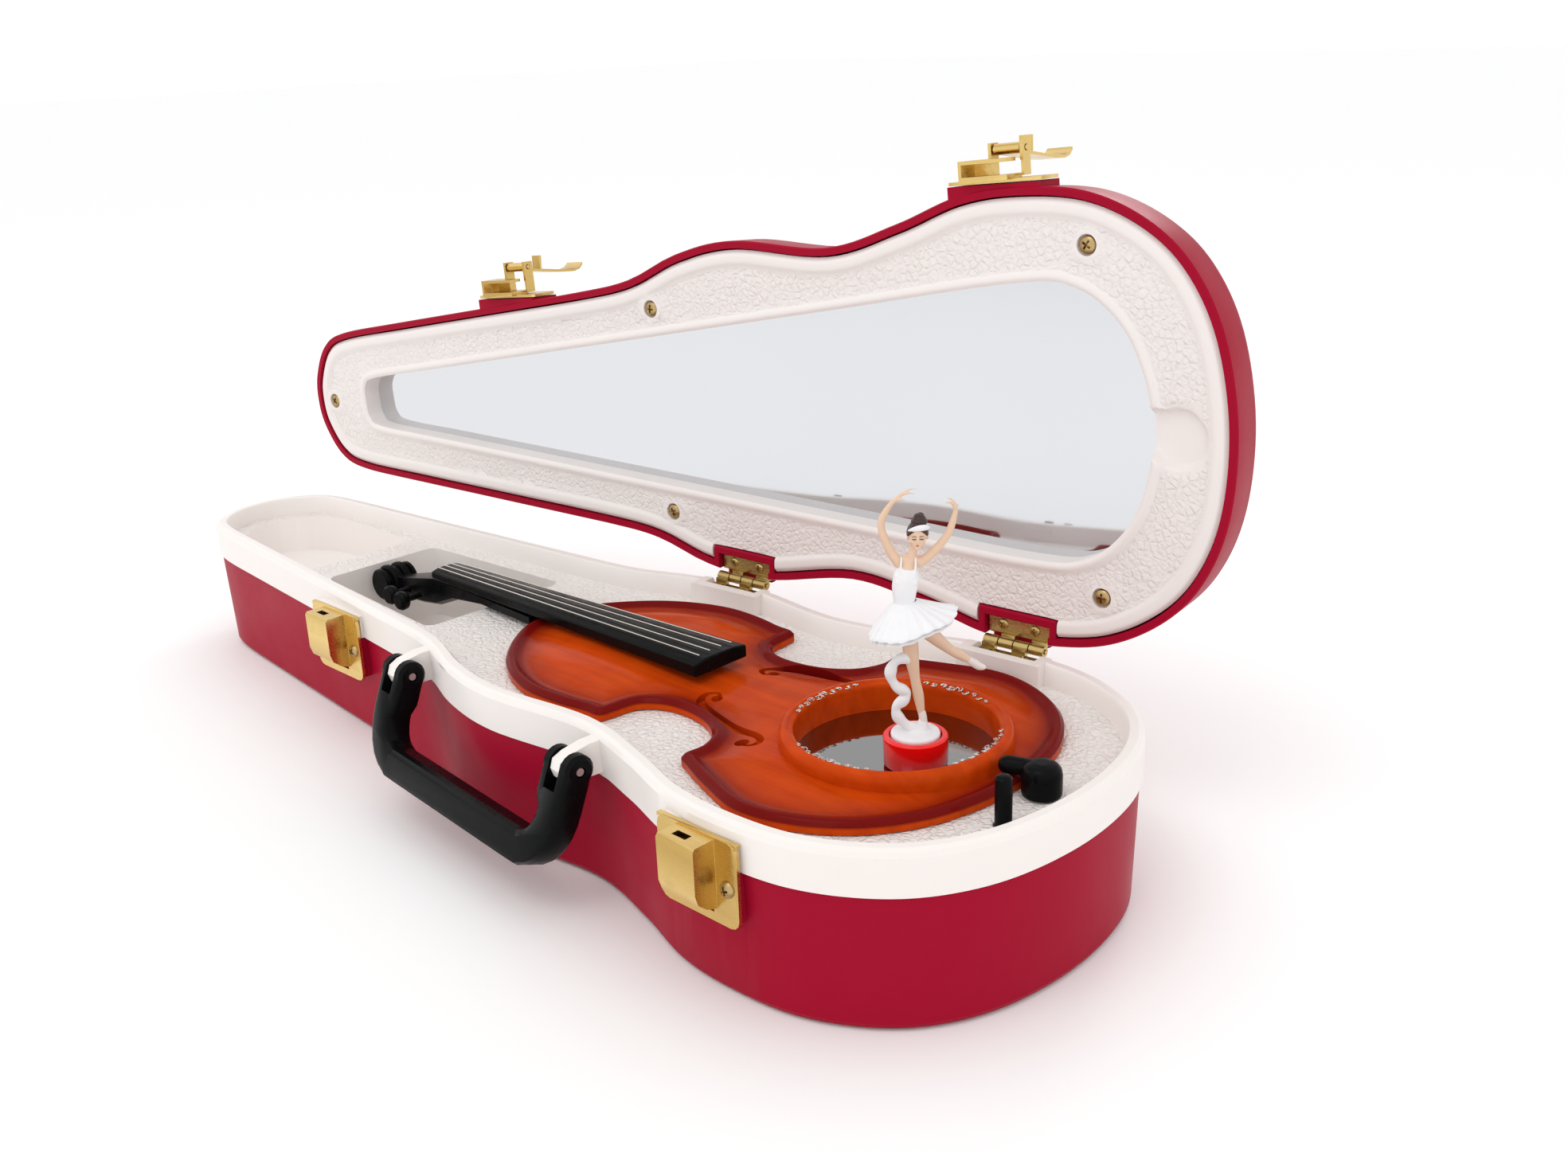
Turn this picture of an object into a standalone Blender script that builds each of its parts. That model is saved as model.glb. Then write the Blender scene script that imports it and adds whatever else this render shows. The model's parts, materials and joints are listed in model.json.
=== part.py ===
"""Ballerina jewellery box: a violin-shaped case with a wind-up music movement.

The case stands open, as it is used. +X runs along the case towards its wide end,
-Y is the front with the handle and the latches, +Y is the hinge side, +Z is up,
and the origin is under the middle of the case, on the plane of its feet.
Lid pieces are drawn closed and then turned open about the hinge line.
"""

import math

import bmesh
import bpy
from mathutils import Matrix, Vector

MM = 0.001
GAP = 0.3  # clearance between touching pieces, mm

# ---------------------------------------------------------------- driving sizes, mm
HALF_LENGTH = 160.0
# half of the case's outline, from the narrow tip to the round tip: x, half width
CASE_HALF = [
    (-160.0, 0.0), (-158.3, 8.6), (-151.5, 18.0), (-140.0, 22.2), (-110.0, 25.2),
    (-70.0, 28.9), (-30.0, 32.6), (-10.0, 35.4), (8.0, 41.4), (28.0, 44.1),
    (57.0, 41.2), (78.0, 45.6), (95.0, 50.8), (110.0, 52.1), (127.0, 50.3),
    (141.0, 43.8), (151.0, 34.0), (157.6, 19.5), (160.0, 0.0),
]
OUTLINE_STEPS = 2  # points per span of the case outline
# half of the violin's outline, from the neck to the tail
VIOLIN_HALF = [
    (-6.2, 0.0), (-6.0, 5.5), (-2.0, 12.8), (6.5, 23.5), (17.0, 30.0), (30.0, 34.0),
    (43.0, 32.0), (51.0, 31.0), (51.5, 27.0), (56.5, 19.5), (65.0, 17.3), (74.0, 19.0),
    (82.0, 25.0), (82.5, 33.0), (85.0, 35.0), (95.0, 39.5), (107.0, 43.0), (119.0, 40.8),
    (130.5, 33.5), (139.0, 22.0), (142.2, 8.5), (142.5, 0.0),
]

FOOT_HEIGHT = 0.4
SHELL_TOP = 29.4  # red shell meets the cream band here
BAND_BOTTOM = 29.7
RIM_TOP = 39.5
TRAY_FLOOR = 34.2
TRAY_UNDER = 31.8
WALL = 2.0
RIM_WIDTH = 3.6

LID_RIM = 39.8  # height of the closed lid's rim
LID_DEPTH = 13.6
LINER_BACK = 47.4
MIRROR_FACE = 45.8

HINGE_Y = 42.9  # hinge line where it crosses x = 0
HINGE_Z = 39.65
HINGE_TILT = math.radians(5.4)
LID_OPEN = math.radians(91.5)
HINGE_PLACES = (20.5, 104.0)  # x of the two hinges
HINGE_WIDTH = 16.4
KNUCKLE_RADIUS = 1.35
PIN_RADIUS = 0.55
LEAF = 0.7

HANDLE_TILT = math.radians(-5.1)
HANDLE_PIVOT = (26.9, -46.0, 33.8)  # middle of the handle's pin line
HANDLE_LEAN = math.radians(-21.4)  # the forks' stops hold the bail off the case at rest
FORK_WIDTH = 9.7
ARM_WIDTH = 8.0
HANDLE_DEPTH = 7.3
HANDLE_REACH = 20.8  # from the pins to the middle of the bar
HANDLE_SPAN = 72.7  # between the middles of the two forks
LUG_WIDTH = 3.6

LATCH_PLACES = (-57.6, 107.2)  # x of the middle of each keeper
KEEPER_FACE_Y = (-33.2, -53.5)
KEEPER_TOP = 36.0
LATCH_FACE_Y = (-32.4, -53.9)  # front of the plates on the lid
LATCH_SHIFT = -2.7  # the lid's plates sit a little towards the head
HOUSING_LOW = 38.6
LEVER_PIVOT_Z = 44.9
LEVER_OUT = (7.4, 6.2)  # pin lines in front of the plates
LEVER_OPEN = math.radians(185.0)
HOOK_SHIFT = -0.8
HOOK_RADIUS = 7.4

DISH = (112.0, 0.0)  # centre of the dance floor
RING_OUTER = 25.0
RING_INNER = 21.6
RING_TOP = 40.8
FLOOR_TOP = 33.9  # face of the round mirror
ORBIT = 6.9
FIGURE_ANGLE = math.radians(-14.0)

VIOLIN_TOP = 36.6
VIOLIN_SIDE = 2.1

STOP_PIN = (148.7, -11.8)
STOP_RADIUS = 1.7
STOP_TOP = 44.7

KEY_CENTRE = (84.0, -4.0)
KEY_WELL = 14.0

LINER_SCREWS = [(-151.0, 0.0), (-2.9, -27.6), (-2.9, 27.6), (127.0, -39.0), (127.0, 39.0)]

# ---------------------------------------------------------------- colours
CREAM = (0.83, 0.79, 0.75)
RED = (0.30, 0.012, 0.03)
ORANGE = (0.62, 0.10, 0.012)
BLACK = (0.012, 0.012, 0.013)
BRASS = (0.80, 0.58, 0.22)
STEEL = (0.55, 0.55, 0.56)
MIRROR = (0.80, 0.81, 0.83)
BRIGHT_RED = (0.75, 0.01, 0.02)
WHITE = (0.86, 0.85, 0.86)
RUBBER = (0.03, 0.03, 0.03)


# ---------------------------------------------------------------- helpers
def clear_scene():
    """Remove whatever the file opened with."""
    for obj in list(bpy.data.objects):
        bpy.data.objects.remove(obj, do_unlink=True)


def finish(name, bm, colour, roughness=0.4, metallic=0.0, smooth=35.0, place=None):
    """Make one named object from a bmesh drawn in mm, with its own material."""
    bmesh.ops.recalc_face_normals(bm, faces=bm.faces)
    if place is not None:
        bm.transform(place)
    bm.transform(Matrix.Scale(MM, 4))
    mesh = bpy.data.meshes.new(name)
    bm.to_mesh(mesh)
    bm.free()
    mesh.polygons.foreach_set("use_smooth", [smooth > 0] * len(mesh.polygons))
    if smooth > 0:
        mesh.set_sharp_from_angle(angle=math.radians(smooth))
    obj = bpy.data.objects.new(name, mesh)
    bpy.context.collection.objects.link(obj)
    material = bpy.data.materials.new(name)
    material.use_nodes = True
    shader = material.node_tree.nodes["Principled BSDF"]
    shader.inputs["Base Color"].default_value = (*colour, 1.0)
    shader.inputs["Roughness"].default_value = roughness
    shader.inputs["Metallic"].default_value = metallic
    mesh.materials.append(material)
    return obj


def set_origin(obj, point):
    """Put a moving piece's origin on its joint axis; point is in mm."""
    shift = Vector(point) * MM
    obj.data.transform(Matrix.Translation(-shift))
    obj.location = shift
    return obj


def spline(points, steps, closed=True):
    """Catmull-Rom curve through 2-D points."""
    count = len(points)
    spans = count if closed else count - 1
    out = []
    for i in range(spans):
        quad = []
        for k in (-1, 0, 1, 2):
            index = (i + k) % count if closed else min(max(i + k, 0), count - 1)
            quad.append(points[index])
        for s in range(steps):
            t = s / steps
            weights = (
                -0.5 * t + t * t - 0.5 * t**3,
                1.0 - 2.5 * t * t + 1.5 * t**3,
                0.5 * t + 2.0 * t * t - 1.5 * t**3,
                -0.5 * t * t + 0.5 * t**3,
            )
            out.append(tuple(sum(w * p[a] for w, p in zip(weights, quad)) for a in (0, 1)))
    if not closed:
        out.append(points[-1])
    return out


def symmetric(half, steps):
    """Closed outline from one half: along the front (-Y) first, back along +Y."""
    front = [(x, -w) for x, w in half]
    back = [(x, w) for x, w in reversed(half[1:-1])]
    return spline(front + back, steps)


def inset(outline, distance):
    """Move a counter-clockwise outline inwards along its normals."""
    count = len(outline)
    out = []
    for i, (x, y) in enumerate(outline):
        ax, ay = outline[i - 1]
        bx, by = outline[(i + 1) % count]
        tx, ty = bx - ax, by - ay
        size = math.hypot(tx, ty)
        out.append((x - ty / size * distance, y + tx / size * distance))
    return out


def tube_rings(bm, rings, cap=True):
    """Skin a list of equal rings of 3-D points; caps close the two ends."""
    loops = [[bm.verts.new(p) for p in ring] for ring in rings]
    count = len(loops[0])
    for a, b in zip(loops, loops[1:]):
        for i in range(count):
            j = (i + 1) % count
            bm.faces.new((a[i], a[j], b[j], b[i]))
    if cap:
        bm.faces.new(loops[0][::-1])
        bm.faces.new(loops[-1])
    return loops


def closed_profile(bm, rings):
    """Skin rings that come back to the first one: a hollow band or cup wall."""
    loops = [[bm.verts.new(p) for p in ring] for ring in rings]
    count = len(loops[0])
    for n, a in enumerate(loops):
        b = loops[(n + 1) % len(loops)]
        for i in range(count):
            j = (i + 1) % count
            bm.faces.new((a[i], a[j], b[j], b[i]))


def level(outline, z):
    """Lift a 2-D outline to height z."""
    return [(x, y, z) for x, y in outline]


def prism(outline, z0, z1):
    """A bmesh solid between two heights."""
    bm = bmesh.new()
    tube_rings(bm, [level(outline, z0), level(outline, z1)])
    return bm


def block(bm, low, high):
    """Add a box with the given lowest and highest corners."""
    (x0, y0, z0), (x1, y1, z1) = low, high
    base = [(x0, y0), (x1, y0), (x1, y1), (x0, y1)]
    tube_rings(bm, [level(base, z0), level(base, z1)])


def circle(cx, cy, radius, count=24):
    """Points of a circle, counter-clockwise."""
    turn = 2.0 * math.pi / count
    return [(cx + radius * math.cos(i * turn), cy + radius * math.sin(i * turn)) for i in range(count)]


def turned(bm, profile, count=24, centre=(0.0, 0.0)):
    """A solid of revolution about a vertical axis from (radius, z) pairs."""
    rings = [level(circle(*centre, r, count), z) for r, z in profile]
    tube_rings(bm, rings)


def along_x(x0=0.0, y0=0.0, z0=0.0):
    """Matrix that lays a vertical solid along +X at a point."""
    return Matrix.Translation((x0, y0, z0)) @ Matrix.Rotation(math.pi / 2, 4, "Y")


def along_y(x0=0.0, y0=0.0, z0=0.0):
    """Matrix that lays a vertical solid along -Y at a point."""
    return Matrix.Translation((x0, y0, z0)) @ Matrix.Rotation(math.pi / 2, 4, "X")


def rounded_box(width, height, radius, steps=4):
    """Outline of a rectangle with round corners, centred, counter-clockwise."""
    out = []
    corners = ((1, -1, -90), (1, 1, 0), (-1, 1, 90), (-1, -1, 180))
    for sx, sy, start in corners:
        cx, cy = sx * (width / 2 - radius), sy * (height / 2 - radius)
        for k in range(steps + 1):
            a = math.radians(start + 90.0 * k / steps)
            out.append((cx + radius * math.cos(a), cy + radius * math.sin(a)))
    return out


def cutter(name, bm, place=None):
    """A hidden solid for a boolean."""
    obj = finish(name, bm, BLACK, smooth=0, place=place)
    obj.hide_render = True
    obj.display_type = "WIRE"
    return obj


def combine(target, tools, operation):
    """Apply booleans and remove their tools."""
    for tool in tools:
        step = target.modifiers.new(operation.lower(), "BOOLEAN")
        step.operation = operation
        step.solver = "EXACT"
        step.object = tool
    graph = bpy.context.evaluated_depsgraph_get()
    baked = bpy.data.meshes.new_from_object(target.evaluated_get(graph))
    target.modifiers.clear()
    old = target.data
    material = old.materials[0]
    target.data = baked
    baked.materials.clear()
    baked.materials.append(material)
    bpy.data.meshes.remove(old)
    for tool in tools:
        bpy.data.objects.remove(tool, do_unlink=True)
    baked.polygons.foreach_set("material_index", [0] * len(baked.polygons))
    baked.polygons.foreach_set("use_smooth", [True] * len(baked.polygons))
    baked.set_sharp_from_angle(angle=math.radians(35.0))
    return target


CASE = symmetric(CASE_HALF, OUTLINE_STEPS)
AXIS_POINT = Vector((0.0, HINGE_Y, HINGE_Z))
AXIS_DIRECTION = Vector((math.cos(HINGE_TILT), math.sin(HINGE_TILT), 0.0))
OPENED = (
    Matrix.Translation(AXIS_POINT)
    @ Matrix.Rotation(-LID_OPEN, 4, AXIS_DIRECTION)
    @ Matrix.Translation(-AXIS_POINT)
)


def half_width(x):
    """Half width of the case at x."""
    front = [p for p in CASE if p[1] <= 0.0]
    for (xa, ya), (xb, yb) in zip(front, front[1:]):
        if xa <= x <= xb:
            return -(ya + (yb - ya) * (x - xa) / (xb - xa))
    return 0.0


def wall_pad(x, front, half, z0, z1, depth):
    """A pad between a latch plate and the curved wall, sunk into the wall by depth."""
    outline = [(x - half, front), (x + half, front),
               (x + half, -half_width(x + half) + depth), (x - half, -half_width(x - half) + depth)]
    return cutter("pad", prism(outline, z0, z1))


# ---------------------------------------------------------------- base
def build_shell():
    """Red lower shell with its keeper pads and the winding key's well."""
    bm = bmesh.new()
    bottom = FOOT_HEIGHT
    rings = [
        level(inset(CASE, 2.9), bottom),
        level(inset(CASE, 1.9), bottom + 0.35),
        level(inset(CASE, 1.45), bottom + 1.3),
        level(inset(CASE, 0.6), SHELL_TOP),
        level(inset(CASE, 0.6 + WALL), SHELL_TOP),
        level(inset(CASE, 1.45 + WALL), bottom + WALL + 0.4),
    ]
    tube_rings(bm, rings)
    shell = finish("base_shell", bm, RED, 0.42)

    pads = [wall_pad(x, y + 1.2, 10.2, 18.6, SHELL_TOP, 1.8) for x, y in zip(LATCH_PLACES, KEEPER_FACE_Y)]
    boss = bmesh.new()
    turned(boss, [(KEY_WELL + 1.6, bottom + 0.2), (KEY_WELL + 1.6, 11.6)], 32, KEY_CENTRE)
    combine(shell, [cutter("boss", boss)] + pads, "UNION")

    well = bmesh.new()
    turned(well, [(KEY_WELL, -1.0), (KEY_WELL, 10.0)], 32, KEY_CENTRE)
    shaft = bmesh.new()
    turned(shaft, [(2.2, 9.0), (2.2, 13.0)], 16, KEY_CENTRE)
    cuts = [cutter("well", well), cutter("shaft_hole", shaft)]
    for x, y in FOOT_PLACES:
        dent = bmesh.new()
        turned(dent, [(4.3, -1.0), (4.3, bottom + 0.7)], 16, (x, y))
        cuts.append(cutter("dent", dent))
    combine(shell, cuts, "DIFFERENCE")
    return shell


FOOT_PLACES = ((0.0, 0.0), (-118.0, -13.0), (-118.0, 13.0), (118.0, -36.0), (118.0, 36.0))


def build_feet():
    """Small rubber feet set in dents of the shell's bottom."""
    for n, place in enumerate(FOOT_PLACES, start=1):
        bm = bmesh.new()
        turned(bm, [(3.6, 0.0), (4.0, 0.3), (4.0, FOOT_HEIGHT + 0.4)], 16, place)
        finish(f"foot_{n}", bm, RUBBER, 0.8)


def compartment(outline, z0, z1, draft):
    """A cutting solid for a tray compartment, narrower at the bottom."""
    xs = [p[0] for p in outline]
    ys = [p[1] for p in outline]
    cx, cy = (min(xs) + max(xs)) / 2, (min(ys) + max(ys)) / 2
    kx = 1.0 - 2.0 * draft / (max(xs) - min(xs))
    ky = 1.0 - 2.0 * draft / (max(ys) - min(ys))
    bottom = [(cx + (x - cx) * kx, cy + (y - cy) * ky) for x, y in outline]
    bm = bmesh.new()
    tube_rings(bm, [level(bottom, z0), level(outline, z1)])
    return bm


HEAD_SPACE = [(-97.5, -15.5), (-97.5, 15.5), (-100.5, 17.4), (-115.0, 17.6), (-132.0, 16.9), (-142.0, 14.0),
              (-149.0, 8.0), (-151.5, 0.0), (-149.0, -8.0), (-142.0, -14.0), (-132.0, -16.9),
              (-115.0, -17.6), (-100.5, -17.4)]
SCROLL_SPACE = (-58.2, 57.0, 40.0, 3.0)  # middle x, length, width, corner radius


def scroll_outline(grow):
    """Outline of the scroll's compartment, a little wider towards the violin."""
    cx, length, width, radius = SCROLL_SPACE
    outline = rounded_box(length + 2 * grow, width + 2 * grow, radius + grow)
    return [(cx + x, y * (1.0 + 0.1 * x / length * 2)) for x, y in outline]


def build_tray():
    """Cream tray: outer band, rim, floor, two compartments and the handle lugs."""
    bm = bmesh.new()
    rings = [
        level(inset(CASE, RIM_WIDTH + 1.0), TRAY_UNDER),
        level(inset(CASE, WALL), TRAY_UNDER - 0.5),
        level(inset(CASE, WALL), BAND_BOTTOM),
        level(CASE, BAND_BOTTOM),
        level(inset(CASE, -0.1), RIM_TOP - 1.6),
        level(inset(CASE, 0.35), RIM_TOP - 0.5),
        level(inset(CASE, 1.3), RIM_TOP),
        level(inset(CASE, RIM_WIDTH - 0.5), RIM_TOP),
        level(inset(CASE, RIM_WIDTH), RIM_TOP - 0.5),
        level(inset(CASE, RIM_WIDTH + 0.5), TRAY_FLOOR),
    ]
    tube_rings(bm, rings)
    tray = finish("base_tray", bm, CREAM, 0.35)

    adds = []
    head = spline(HEAD_SPACE, 3)
    adds.append(cutter("head_room", prism(inset(head, -1.7), 22.4, TRAY_FLOOR - 0.5)))
    adds.append(cutter("scroll_room", prism(scroll_outline(1.7), 11.6, TRAY_FLOOR - 0.6)))
    for x in HINGE_PLACES:
        boss = bmesh.new()
        block(boss, (-HINGE_WIDTH / 2 - 3.0, -8.6, TRAY_FLOOR - 1.0), (HINGE_WIDTH / 2 + 3.0, -2.4, RIM_TOP))
        adds.append(cutter("boss", boss, place=hinge_place(x)))
    for side in (-1, 1):
        adds.append(cutter("lug", handle_lug(side)))
    for x, y in zip(LATCH_PLACES, KEEPER_FACE_Y):
        adds.append(wall_pad(x, y + 1.6, 10.2, BAND_BOTTOM, KEEPER_TOP - 0.2, 1.2))
    combine(tray, adds, "UNION")

    cuts = []
    cuts.append(cutter("head_space", compartment(head, 24.0, TRAY_FLOOR + 0.6, 3.0)))
    cuts.append(cutter("scroll_space", compartment(scroll_outline(0.0), 13.4, TRAY_FLOOR + 0.6, 1.4)))
    pocket = bmesh.new()
    turned(pocket, [(RING_OUTER + 0.4, 32.6), (RING_OUTER + 0.4, TRAY_FLOOR + 1.0)], 48, DISH)
    cuts.append(cutter("pocket", pocket))
    hole = bmesh.new()
    turned(hole, [(STOP_RADIUS + 0.35, 20.0), (STOP_RADIUS + 0.35, 45.0)], 20, STOP_PIN)
    cuts.append(cutter("stop_hole", hole))
    for x in HINGE_PLACES:
        notch = bmesh.new()
        block(notch, (-HINGE_WIDTH / 2 - 0.4, -5.8, RIM_TOP - 2.2), (HINGE_WIDTH / 2 + 0.4, 6.0, RIM_TOP + 3.0))
        cuts.append(cutter("notch", notch, place=hinge_place(x)))
    for side in (-1, 1):
        bore = bmesh.new()
        turned(bore, [(1.25, -8.0), (1.25, 8.0)], 16)
        cuts.append(cutter("bore", bore, place=handle_place(side) @ along_x()))
    combine(tray, cuts, "DIFFERENCE")
    return tray


def rounded_at(cx, cy, width, height, radius):
    """A rounded rectangle moved to a centre."""
    return [(cx + x, cy + y) for x, y in rounded_box(width, height, radius)]


# ---------------------------------------------------------------- handle
def handle_place(side, lean=0.0):
    """Frame at a fork of the handle: X along the pin line."""
    x, y, z = HANDLE_PIVOT
    return (
        Matrix.Translation((x, y, z))
        @ Matrix.Rotation(HANDLE_TILT, 4, "Z")
        @ Matrix.Translation((side * HANDLE_SPAN / 2, 0.0, 0.0))
        @ Matrix.Rotation(lean, 4, "X")
    )


def handle_lug(side):
    """Cream lug that reaches out of the band and carries a handle pin."""
    bm = bmesh.new()
    half = LUG_WIDTH / 2
    outline = [(-3.3, 0.0), (-2.6, 2.1), (-0.6, 3.3), (4.0, 4.2), (11.0, 4.4), (11.0, -3.4), (0.0, -3.3), (-2.6, -2.1)]
    rings = [[(x, y, z) for y, z in outline] for x in (-half, half)]
    tube_rings(bm, rings)
    bm.transform(handle_place(side))
    return bm


def build_handle():
    """Black U-shaped handle with a fork at each end, hanging from its pins."""
    edge = HANDLE_SPAN / 2 + FORK_WIDTH / 2
    half = edge - ARM_WIDTH / 2
    centre = [(-half, 1.0), (-half, -9.0), (-half + 0.8, -14.0), (-half + 3.4, -18.2), (-half + 7.8, -20.4),
              (-half + 13.5, -HANDLE_REACH)]
    path = centre + [(-x, z) for x, z in reversed(centre)]
    path = spline(path, 2, closed=False)
    bm = bmesh.new()
    rings = []
    for i, (x, z) in enumerate(path):
        ax, az = path[max(i - 1, 0)]
        bx, bz = path[min(i + 1, len(path) - 1)]
        tx, tz = bx - ax, bz - az
        size = math.hypot(tx, tz)
        nx, nz = -tz / size, tx / size
        section = rounded_box(ARM_WIDTH, HANDLE_DEPTH, 1.8, 2)
        rings.append([(x + nx * u, v, z + nz * u) for u, v in section])
    tube_rings(bm, rings)
    handle = finish("handle", bm, BLACK, 0.3, place=handle_place(0, HANDLE_LEAN))

    ends = []
    wide = FORK_WIDTH / 2
    thick = HANDLE_DEPTH / 2
    for side in (-1, 1):
        place = handle_place(side, HANDLE_LEAN)
        dome = bmesh.new()
        turned(dome, [(thick - 0.8, -wide), (thick, -wide + 0.8), (thick, wide - 0.8), (thick - 0.8, wide)], 20)
        ends.append(cutter("dome", dome, place=place @ along_x()))
        cheek = bmesh.new()
        section = rounded_box(FORK_WIDTH - 0.1, HANDLE_DEPTH - 0.1, 1.4, 2)
        taper = rounded_box(FORK_WIDTH - 2.4, HANDLE_DEPTH - 0.6, 1.4, 2)
        tube_rings(cheek, [level(section, 0.0), level(section, -7.0),
                           [(x + side * 0.8, y, -11.0) for x, y in taper]])
        ends.append(cutter("cheek", cheek, place=place))
    combine(handle, ends, "UNION")
    cuts = []
    for side in (-1, 1):
        slot = bmesh.new()
        gap = LUG_WIDTH / 2 + GAP
        block(slot, (-gap, -9.0, -5.4), (gap, 9.0, 9.0))
        cuts.append(cutter("slot", slot, place=handle_place(side, HANDLE_LEAN)))
        bore = bmesh.new()
        turned(bore, [(1.25, -9.0), (1.25, 9.0)], 16)
        cuts.append(cutter("bore", bore, place=handle_place(side) @ along_x()))
    combine(handle, cuts, "DIFFERENCE")
    set_origin(handle, HANDLE_PIVOT)
    for n, side in enumerate((-1, 1), start=1):
        pin = bmesh.new()
        turned(pin, [(0.95, -4.7), (0.95, 4.7)], 16)
        finish(f"handle_pin_{n}", pin, STEEL, 0.3, 1.0, place=handle_place(side) @ along_x())


# ---------------------------------------------------------------- hinges
def hinge_place(x):
    """Frame on the hinge line: X along it, Y outwards, Z up."""
    y = HINGE_Y + x * math.tan(HINGE_TILT)
    return Matrix.Translation((x, y, 0.0)) @ Matrix.Rotation(HINGE_TILT, 4, "Z")


def build_hinges():
    """Two brass butt hinges: a leaf on the tray, a leaf on the lid, and a pin."""
    knuckle = HINGE_WIDTH / 4
    for n, x in enumerate(HINGE_PLACES, start=1):
        place = hinge_place(x)
        for kind in ("base", "lid"):
            bm = bmesh.new()
            low = RIM_TOP - 1.9 if kind == "base" else LID_RIM + 1.5
            high = low + LEAF
            edge = -KNUCKLE_RADIUS - GAP
            block(bm, (-HINGE_WIDTH / 2, -5.4, low), (HINGE_WIDTH / 2, edge, high))
            leaf = finish(f"hinge_leaf_{kind}_{n}", bm, BRASS, 0.3, 1.0, place=place)
            parts = []
            for k in range(4):
                if (k % 2 == 0) != (kind == "base"):
                    continue
                start = -HINGE_WIDTH / 2 + k * knuckle + 0.15
                barrel = bmesh.new()
                turned(barrel, [(KNUCKLE_RADIUS, start), (KNUCKLE_RADIUS, start + knuckle - 0.3)], 14)
                parts.append(cutter("barrel", barrel, place=place @ along_x(z0=HINGE_Z)))
                web = bmesh.new()
                web_low, web_high = (low, HINGE_Z) if kind == "base" else (HINGE_Z, high)
                block(web, (start + 0.1, -KNUCKLE_RADIUS - 0.7, web_low + 0.1),
                      (start + knuckle - 0.4, -0.85, web_high - 0.1))
                parts.append(cutter("web", web, place=place))
            combine(leaf, parts, "UNION")
            bore = bmesh.new()
            turned(bore, [(PIN_RADIUS + 0.09, -12.0), (PIN_RADIUS + 0.09, 12.0)], 12)
            combine(leaf, [cutter("bore", bore, place=place @ along_x(z0=HINGE_Z))], "DIFFERENCE")
            if kind == "lid":
                leaf.data.transform(to_metres(OPENED))
                set_origin(leaf, AXIS_POINT)
        pin = bmesh.new()
        turned(pin, [(PIN_RADIUS, -HINGE_WIDTH / 2 - 0.2), (PIN_RADIUS, HINGE_WIDTH / 2 + 0.2)], 12)
        finish(f"hinge_pin_{n}", pin, STEEL, 0.3, 1.0, place=place @ along_x(z0=HINGE_Z))


def to_metres(matrix):
    """The same motion for geometry that is already in metres."""
    moved = matrix.copy()
    moved.translation = matrix.translation * MM
    return moved


# ---------------------------------------------------------------- lid
MIRROR_HALF = [
    (-134.5, 0.0), (-133.6, 5.2), (-128.0, 7.8), (-100.0, 10.6), (-50.0, 15.6),
    (0.0, 20.6), (60.0, 26.6), (108.0, 31.4), (124.0, 30.0), (134.5, 21.5), (139.6, 9.5), (140.4, 0.0),
]


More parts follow.
